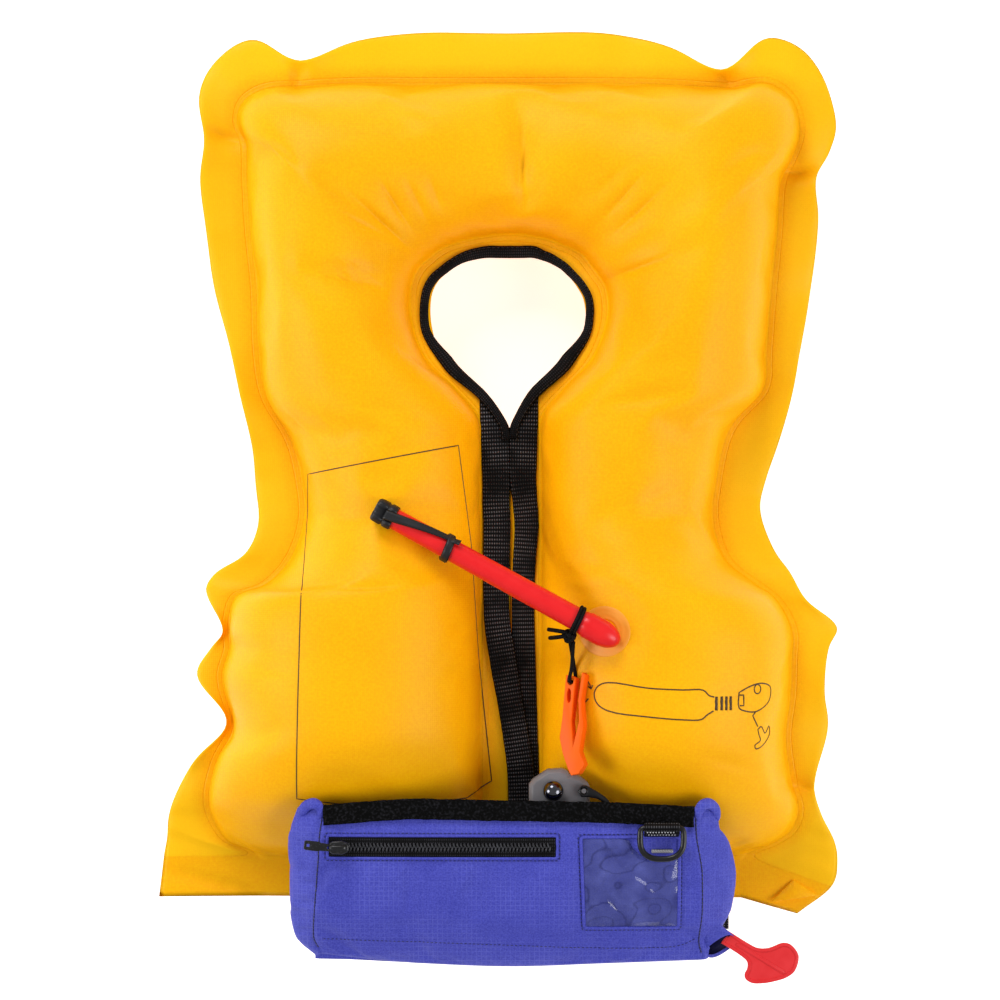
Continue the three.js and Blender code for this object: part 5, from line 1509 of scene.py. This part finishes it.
EAR_LINES = {  # from the front corner along the rolled hem, in mm: outwards, up and towards the front
    -1: [(0.8, -8, 0), (1.4, -1.5, 1.2), (4.5, 1.2, 1.0), (8.6, 0.4, -2), (11.8, -2.4, -4),
         (12.9, -6.5, -7), (12.2, -11, -11)],
    1: [(1.6, -9, 0), (2.2, -2, 1.2), (5.2, 1.7, 1.0), (9.4, 1.8, -3), (12.8, -1.6, -7),
        (13.4, -6.8, -9), (11.6, -11.5, -11)],
}
shape = bmesh.new()
for side, steps in EAR_LINES.items():
    corner = front_at(0, 0 if side < 0 else 1)
    line = [corner + Vector((side * out, up, near)) for out, up, near in steps]
    path = []
    for k in range(41):
        at = through(line, k / 40)
        ahead = through(line, min(k + 1, 40) / 40) - through(line, max(k - 1, 0) / 40)
        wide = 1 - 0.55 * abs(k / 20 - 1) ** 3 + 0.08 * noise.noise(at / 5)
        up = Vector((side * 0.35, 0.2, 1)).normalized()
        across = ahead.cross(up).normalized()
        path.append((at + SHIFT, across * wide, across.cross(ahead).normalized() * wide))
    swept(shape, oval(3.7, 2.2, 16), path)
ears = piece("pouch_ears", shape, ripstop)
smoother(ears)

# %% [markdown]
# ## Loop tape
# The closure at the mouth is a strip of loop tape sewn along the front edge. Its face is felt, so the
# strip is a close grid whose points stand up and down a little, and its edges are uneven.

# %% Loop tape
STRIP_WIDE = 13
STRIP_THICK = 1.2
shape = bmesh.new()


def strip_point(u, v):
    """A point of the loop tape: u goes along the mouth and v down."""
    edge = front_at(0, between(0.005, 0.995, u))
    y = edge.y + 0.6 - STRIP_WIDE * v + 0.35 * noise.noise((edge.x / 6, v * 3, 0.5))
    fuzz = 0.5 * noise.noise((edge.x / 1.1, y / 1.1, 2)) + 0.4 * noise.noise((edge.x / 3, y / 3, 7))
    at = on_pouch(edge.x, min(y, edge.y - 0.5), 1.7 + fuzz, edge.z)
    at.y = y + SHIFT.y
    return at * MM


laid_grid(shape, 210, 13, strip_point)
thickened(shape, STRIP_THICK)
piece("loop_strip", shape, loop_tape, ["hook_strip"])

# %% [markdown]
# ## Zip
# Two tapes with moulded teeth that mesh down the middle, a slider at the left end and a pull on it. A
# welt of blue cloth is folded round the opening. The teeth are small rounded blocks, set left and right
# in turn.

# %% Zip tape and teeth
ZIP_MIDDLE = (ZIP["top"] + ZIP["bottom"]) / 2
ZIP_LONG, ZIP_WIDE = ZIP["right"] - ZIP["left"], ZIP["top"] - ZIP["bottom"]
TOOTH_PITCH = 2.3
shape = bmesh.new()


def tape_point(u, v):
    """A point of the zip's tape, raised along the teeth."""
    x, y = between(ZIP["left"], ZIP["right"], u), between(ZIP["bottom"], ZIP["top"], v)
    ridge = 0.7 * math.exp(-((y - ZIP_MIDDLE) / 2.4) ** 2)
    return on_pouch(x, y, 0.75 + ridge) * MM


laid_grid(shape, 90, 12, tape_point, lambda u, v: (v * ZIP_WIDE * MM, u * ZIP_LONG * MM))
thickened(shape, 0.7)
piece("zip_cloth", shape, binding_tape, ["zip_tape"])

shape = bmesh.new()
x, side = ZIP["left"] + 13, 1
while x < ZIP["right"] - 3:
    at = on_pouch(x, ZIP_MIDDLE + side * 1.15, 2.0)
    bmesh.ops.create_cube(shape, size=MM, matrix=Matrix.Translation(at * MM) @ Matrix.Rotation(
        side * 0.2, 4, "Z") @ Matrix.Diagonal((1.15, 3.0, 1.9, 1)))
    x, side = x + TOOTH_PITCH / 2, -side
eased(shape, shape.edges[:], 0.3, 1)
piece("zip_teeth", shape, zip_nylon)

shape = bmesh.new()
swept(shape, oval(1.0, 0.8, 12), round_frame(ZIP, 0.9, 1.4, 0.5), loop=True)
piece("zip_welt", shape, ripstop)

# %% [markdown]
# The slider is a wedge with a bridge over it, and the pull hangs on the bridge's pin. The pull is a plate
# with a waist, an eye for the pin and a square hole near its end. It swings, so it rides on its own body.

# %% Slider and pull
SLIDER_FOOT, SLIDER_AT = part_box("zip_slider")[0].z / MM, Vector((-108.6, ZIP_MIDDLE, 0)) + SHIFT
wedge = [(-6.1, -2.6), (-4.4, -4.0), (1.5, -4.4), (4.5, -3.4), (6.2, -1.8)]
wedge += [(x, -y) for x, y in reversed(wedge)]
shape = drawn_out([wedge], 3.0, 0.9)
bmesh.ops.translate(shape, vec=(SLIDER_AT + Vector((0, 0, SLIDER_FOOT))) * MM, verts=shape.verts)
slider_top = SLIDER_FOOT + 3.0
BRIDGE = [(4.6, -0.6), (3.4, 0.7), (0, 1.2), (-4, 1.2), (-6.0, 0.6)]
bridge = [SLIDER_AT + Vector((x, 0, slider_top + z)) for x, z in BRIDGE]
bridge_path = stations_along([through(bridge, k / 16) for k in range(17)], (0, 1, 0))
swept(shape, oval(1.5, 0.62, 10), bridge_path)
piece("slider_body", shape, black_zinc, ["zip_slider"])

low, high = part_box("zip_pull")
PULL_PIN = Vector((-115.4, 38.1, 123.4)) + SHIFT
print("pull box, mm:", [round(c / MM, 1) for c in (*low, *high)])
PULL = [(1.9, 2.1), (1.9, -2.1), (-2.6, -2.5), (-5.0, -2.5), (-6.4, -3.1), (-14.6, -3.1), (-15.6, -2.3),
        (-15.6, 2.3), (-14.6, 3.1), (-6.4, 3.1), (-5.0, 2.5), (-2.6, 2.5)]
PULL_LEAN = math.radians(-7)
PULL_EYE = ring_of(0.95, 12)
PULL_HOLE = [(-13.9, -0.9), (-12.1, -0.9), (-12.1, 0.9), (-13.9, 0.9)]
shape = drawn_out([PULL, PULL_EYE, PULL_HOLE], 1.4, 0.35)
bmesh.ops.transform(shape, verts=shape.verts, matrix=Matrix.Translation(
    (PULL_PIN - Vector((0, 0, 0.7))) * MM) @ Matrix.Rotation(PULL_LEAN, 4, "Z"))
piece("pull_tab", shape, black_zinc, ["zip_pull"], body="pull")

# %% [markdown]
# ## Window
# A pocket of clear vinyl for a card. Its edge is bound with a roll of blue cloth, the vinyl is creased
# from use, and its upper right corner is cut away so that the card can be pulled out. The creases are
# shaped in the grid, so they catch the light from every side.

# %% Window
VINYL = 0.35
CUT = [(45, 43.8), (70, 43.6), (75, 42.6), (78.6, 36.5), (83, 32.6), (90, 31.2), (98, 30.8), (107, 30.6)]
DIMPLES = [  # middle x, y, direction, half length, half width, depth in mm
    (57, 38, -40, 9, 1.3, 0.9), (66, 30, -60, 8, 1.6, 1.1), (72, 21, 30, 10, 2.2, 1.3),
    (60, 18, 70, 8, 1.4, 1.0), (86, 16, -30, 12, 2.4, 1.4), (95, 4, -55, 13, 3.0, 0.7),
    (80, -2, 15, 12, 2.2, 1.2), (64, 2, -50, 10, 1.8, 1.1), (99, 22, 60, 8, 1.6, 1.0),
    (53, 6, 85, 10, 1.6, 0.9), (72, -9, 4, 16, 1.4, 0.9), (100, -8, 35, 6, 1.5, 1.0),
    (83, 26, 10, 8, 1.3, 0.8), (67, 37, 20, 5, 1.2, 0.8),
]


def cut_edge(x):
    """Top of the vinyl at x."""
    for (x0, y0), (x1, y1) in zip(CUT, CUT[1:]):
        if x <= x1:
            share = min(max((x - x0) / (x1 - x0), 0), 1)
            return between(y0, y1, share * share * (3 - 2 * share))
    return CUT[-1][1]


def vinyl_point(u, v):
    """A point of the vinyl, crinkled where it isn't sewn down."""
    x = between(WINDOW["left"], WINDOW["right"], u)
    y = between(WINDOW["bottom"], cut_edge(x), v)
    loose = min(u, 1 - u, v, 1 - v, 0.08) / 0.08
    crinkle = 0.9 - pits(x, y, DIMPLES, 1.5) + 0.7 * noise.noise((x / 13, y / 13, 4)) + 0.25 * noise.noise(
        (x / 5, y / 5, 1))
    x += WINDOW["slant"] * leaning(x, y, WINDOW)
    return on_pouch(x, y, 0.8 + loose * max(crinkle + 0.6, 0)) * MM


shape = bmesh.new()
laid_grid(shape, 84, 80, vinyl_point)
thickened(shape, VINYL)
piece("window_vinyl", shape, clear_vinyl, ["window"])

shape = bmesh.new()
swept(shape, oval(1.1, 0.9, 12), round_frame(WINDOW, 0.7, 2.2, 0.8), loop=True)
piece("window_frame", shape, ripstop)
shape = bmesh.new()
TACK = {"left": 90, "right": 103.4, "y": 35.4}
bar = [on_pouch(between(TACK["left"], TACK["right"], k / 30), TACK["y"], 0.3) for k in range(31)]
stitches(shape, bar, 1.0, 2.9, 0.5)
piece("bar_tack", shape, grey_thread)

# %% [markdown]
# ## D-ring and its tab
# A moulded D-ring held by a folded webbing tab, which is sewn down with two rows of pale thread. The ring
# is one round outline carried round a D, and it swings on its straight bar.

# %% D-ring and tab
RING_BAR = 3.3
RING_X = 96.2
RING_AT = Vector((RING_X, 50.6, 124.05)) + SHIFT
RING_HALF, RING_SIDE, RING_DROP = 13.85, 7.5, 19.7
d_line = [Vector((between(-11.6, 11.6, k / 10), 0, 0)) for k in range(11)]
d_line += [Vector((13.2, -0.6, 0)), Vector((RING_HALF, -2.2, 0))]
for k in range(25):
    angle = math.pi * k / 24
    across, down = math.cos(angle), math.sin(angle)
    d_line.append(Vector((RING_HALF * math.copysign(abs(across) ** 0.8, across),
                          -RING_SIDE - (RING_DROP - RING_SIDE) * down ** 0.8, 0)))
d_line += [Vector((-RING_HALF, -2.2, 0)), Vector((-13.2, -0.6, 0))]
d_path = []
for k, at in enumerate(d_line):
    ahead = (d_line[(k + 1) % len(d_line)] - d_line[k - 1]).normalized()
    d_path.append((at + RING_AT, ahead.cross(Vector((0, 0, 1))), Vector((0, 0, 1))))
shape = bmesh.new()
swept(shape, [(1.2 * a, b) for a, b in ring_of(RING_BAR / 2, 14)], d_path, loop=True)
d_ring = piece("carry_ring", shape, black_acetal, ["d_ring"], body="ring")
smoother(d_ring)

TAB_WIDE = 22.6
ring_z = RING_AT.z
tab_line = [Vector((RING_X + SHIFT.x, y + SHIFT.y, z)) for y, z in (
    (45.2, on_pouch(RING_X, 45.2).z + 2.0), (47.2, ring_z + 0.6), (48.8, ring_z + 2.2), (50.6, ring_z + 2.9),
    (52.4, ring_z + 2.2), (53.4, ring_z), (52.4, ring_z - 2.2), (50.6, ring_z - 2.7))]
shape = bmesh.new()
tab_path = stations_along([through(tab_line, k / 36) for k in range(37)], (1, 0, 0))
swept(shape, flat_strip(TAB_WIDE, 1.2, 14), tab_path)
piece("ring_webbing", shape, webbing, ["ring_tab"])
shape = bmesh.new()
tab_top = surface_of(bpy.data.objects["ring_webbing"])
for y, start in ((48.0, -10.2), (46.3, -9.3)):
    row = []
    for k in range(11):
        x = RING_X + start + 1.9 * k
        row.append(Vector((x, y, 0)) + SHIFT)
        row[-1].z = height_on(tab_top, row[-1].x, row[-1].y, ring_z + 3) + 0.3
    stitches(shape, row, 1.1, 0.9, 1.85)
piece("tab_stitches", shape, grey_thread)

# %% [markdown]
# ## Pull handle
# The handle that fires the inflator is a flat moulded plate with a raised rim and a rib along its middle.
# Its stem goes into a cloth tunnel at the pouch's corner. The tunnel is a flattened tube whose end turns
# in, so that one looks into it. A dark navy sheet just inside its mouth is painted shade: it stands for
# the shadow inside the tunnel, whose cloth is the same blue ripstop.

# %% Pull handle and tunnel
HANDLE_THICK = 2.5
HANDLE_AT = Matrix.Translation((Vector((138, -22.5, 84)) + SHIFT) * MM) @ Matrix.Rotation(
    math.radians(-31), 4, "Z")
HANDLE = [(0, 4.6), (15, 4.3), (22, 4.9), (28, 8.5), (34, 15.9), (38.4, 17.7), (44, 16.4), (47.7, 13.5),
          (50.1, 4.4), (47.6, -2), (42.9, -7.4), (37, -12.6), (30.3, -16.4), (25.4, -16.2), (23.4, -13.8),
          (22.9, -9.6), (20.6, -6.2), (15, -5), (0, -4.6)]
outline = [Vector((x, y, 0)) for x, y in HANDLE]
count = 4 * (len(outline) - 1)
smooth_outline = [tuple(through(outline, k / count)[:2]) for k in range(count + 1)]
shape = drawn_out([smooth_outline], HANDLE_THICK, 0.5)
top = max(shape.faces, key=lambda f: (round(f.calc_center_median().z / MM, 2), f.calc_area()))
bmesh.ops.inset_region(shape, faces=[top], thickness=1.5 * MM, depth=0)
bmesh.ops.inset_region(shape, faces=[top], thickness=0.4 * MM, depth=-0.6 * MM)
rib = drawn_out([[(9, 0.9), (44, 1.2), (45, 0), (44, -1.2), (9, -0.9)]], 0.9, 0.3)
rib_mesh = bpy.data.meshes.new("rib")
bmesh.ops.translate(rib, vec=Vector((0, 0, (HANDLE_THICK - 0.8) * MM)), verts=rib.verts)
rib.to_mesh(rib_mesh)
rib.free()
shape.from_mesh(rib_mesh)
bpy.data.meshes.remove(rib_mesh)
bmesh.ops.transform(shape, verts=shape.verts, matrix=HANDLE_AT @ Matrix.Translation(
    (0, 0, -HANDLE_THICK / 2 * MM)))
handle = piece("red_handle", shape, red_abs, ["pull_handle"])
handle.data.set_sharp_from_angle(angle=FACET)

shape = bmesh.new()
TUNNEL = [  # how far back from its mouth, half width, half height and lift in mm
    (26, 7.0, 9.0, 5), (19, 7.6, 8.0, 3.5), (12, 8.2, 6.4, 2), (6, 9.4, 5.2, 1), (2, 10.6, 4.7, 0.3),
    (0, 11.0, 4.5, 0), (-0.4, 10.6, 4.1, 0), (0.6, 10.0, 3.7, 0), (6, 9.6, 3.3, 0)]
TUNNEL_MOUTH = Vector((135.4, -28.6, 84)) + SHIFT
TUNNEL_SLANT = 5  # the lower lip reaches further than the upper one
TUNNEL_WAY, TUNNEL_ASIDE = Vector((0.547, -0.837, 0)), Vector((0.837, 0.547, 0))
round_outline = []
for k in range(32):
    c, s = math.cos(2 * math.pi * k / 32), math.sin(2 * math.pi * k / 32)
    round_outline.append((math.copysign(abs(c) ** 0.8, c), math.copysign(abs(s) ** 0.8, s)))


def tunnel_station(far, wide, tall, lift):
    """A station of the tunnel by how far it lies back from the mouth."""
    slant = TUNNEL_SLANT * max(1 - far / 12, 0)
    return (TUNNEL_MOUTH - TUNNEL_WAY * far + Vector((0, 0, lift)), TUNNEL_ASIDE * wide,
            Vector((0, 0, tall)) - TUNNEL_WAY * slant)


swept(shape, round_outline, [tunnel_station(*row) for row in TUNNEL])
for vert in shape.verts:
    vert.co += Vector((0.5, 0.5, 1.3)) * noise.noise(vert.co / (6 * MM)) * MM
tunnel = piece("cloth_tunnel", shape, ripstop, ["handle_tunnel"])
smoother(tunnel)
# painted shade: a dark sheet just inside the tunnel's mouth, where there is only shadow
shape = bmesh.new()
swept(shape, round_outline, [tunnel_station(5, 9.3, 3.0, 0), tunnel_station(1.4, 9.6, 3.3, 0)])
piece("tunnel_painted_shade", shape, painted_shade)

# %% [markdown]
# ## Printed lines
# The bladder is screen printed: a thin frame on the left lobe, and on the right lobe a line drawing of a
# cylinder that screws into its inflator. Ink has almost no thickness, so each line is a very thin strip
# laid on the skin.

# %% Printed lines
INK_THICK = 0.12
OFF_SKIN = 0.1


def ink_line(shape, points, wide=0.85, closed=False):
    """Draws a line of (x, y) points of the table's frame on the bladder."""
    points = [Vector((x, y, 0)) + SHIFT for x, y in points]
    pairs = list(zip(points, points[1:] + points[:1]))
    line = []
    for here, there in pairs if closed else pairs[:-1]:
        cells = max(round((there - here).length / 2), 1)
        line += [here.lerp(there, k / cells) for k in range(cells)]
    line += [] if closed else [points[-1]]
    path = []
    for k, at in enumerate(line):
        after = line[(k + 1) % len(line)] if closed else line[min(k + 1, len(line) - 1)]
        before = line[k - 1] if closed else line[max(k - 1, 0)]
        ahead = (after - before).normalized()
        across = Vector((-ahead.y, ahead.x, 0))
        height = height_on(bladder_top, at.x, at.y, 100) + OFF_SKIN
        path.append((at + Vector((0, 0, height)), across, Vector((0, 0, 1))))
    half = wide / 2
    swept(shape, [(-half, 0), (-half, INK_THICK), (half, INK_THICK), (half, 0)], path, loop=closed)


FRAME_LINE = [(-130.8, 275.3), (-33.3, 293.8), (-25, 229), (-20.5, 158), (-12, 76), (-28, 66), (-100, 63),
              (-136.6, 67.5)]
DRAWING = (38.1, 153.4)
CYLINDER = [(91.3, -19.7), (88.2, -18.8), (84.1, -15.2), (71.6, -15.0), (49.2, -13.9), (24.2, -10.7),
            (17.9, -13.0), (15.4, -18.3), (17.5, -24.6), (24.2, -28.8), (49.2, -32.2), (71.6, -34.0),
            (83.2, -33.8), (86.8, -30.9), (90.8, -28.5)]
THREADS = [92.4, 95.8, 98.8, 101.6]
ARROWS = [[(9.4, -8.5), (12, -11), (13.4, -14.8)], [(8.1, -23.6), (10, -23.2), (11.8, -21.3)]]
ARROW_HEAD = [(14.4, -12.6), (13.4, -15.2), (11.6, -13.4)]
HEAD = [(107.4, -17), (115.5, -13), (122.6, -11.6), (128, -13.9), (127.1, -23.3), (119, -29.5),
        (111.9, -29.1), (107.4, -26.9)]
PULL_CORD = [(118.1, -30), (116.4, -32.2), (119.9, -39.4)]
DRAWN_HANDLE = [(119.9, -41.2), (122.2, -39.4), (124.9, -43.9), (127.5, -39.4), (128, -44.8), (123.5, -51.5),
                (119, -53.7), (118.1, -51.5), (121.7, -48.3), (120.8, -44.8)]
shape = bmesh.new()


def drawn(points):
    """Points of the drawing in the table's frame."""
    return [(x + DRAWING[0], y + DRAWING[1]) for x, y in points]


def rounded(points, closed=False):
    """A smooth line through points of the drawing, in the table's frame."""
    knots = [Vector((x, y, 0)) for x, y in drawn(points + points[:closed])]
    count = 4 * (len(knots) - 1)
    return [tuple(through(knots, k / count)[:2]) for k in range(count + 1 - closed)]


ink_line(shape, FRAME_LINE, 0.7, closed=True)
ink_line(shape, rounded(CYLINDER))
for arrow in ARROWS:
    ink_line(shape, rounded(arrow))
ink_line(shape, drawn(ARROW_HEAD))
for x in THREADS:
    ink_line(shape, drawn([(x, -19.4), (x, -28.2)]), 2.2)
ink_line(shape, rounded(HEAD, True), closed=True)
ink_line(shape, drawn([(2.2 * x + 119.5, 3 * y - 15.2) for x, y in ring_of(1, 12)]), closed=True)
ink_line(shape, drawn([(107.9, -18.8), (110.5, -18.8), (110.5, -25.5), (107.9, -25.5)]))
ink_line(shape, drawn(PULL_CORD), 1.0)
ink_line(shape, rounded(DRAWN_HANDLE, True), closed=True)
piece("printed_lines", shape, ink)
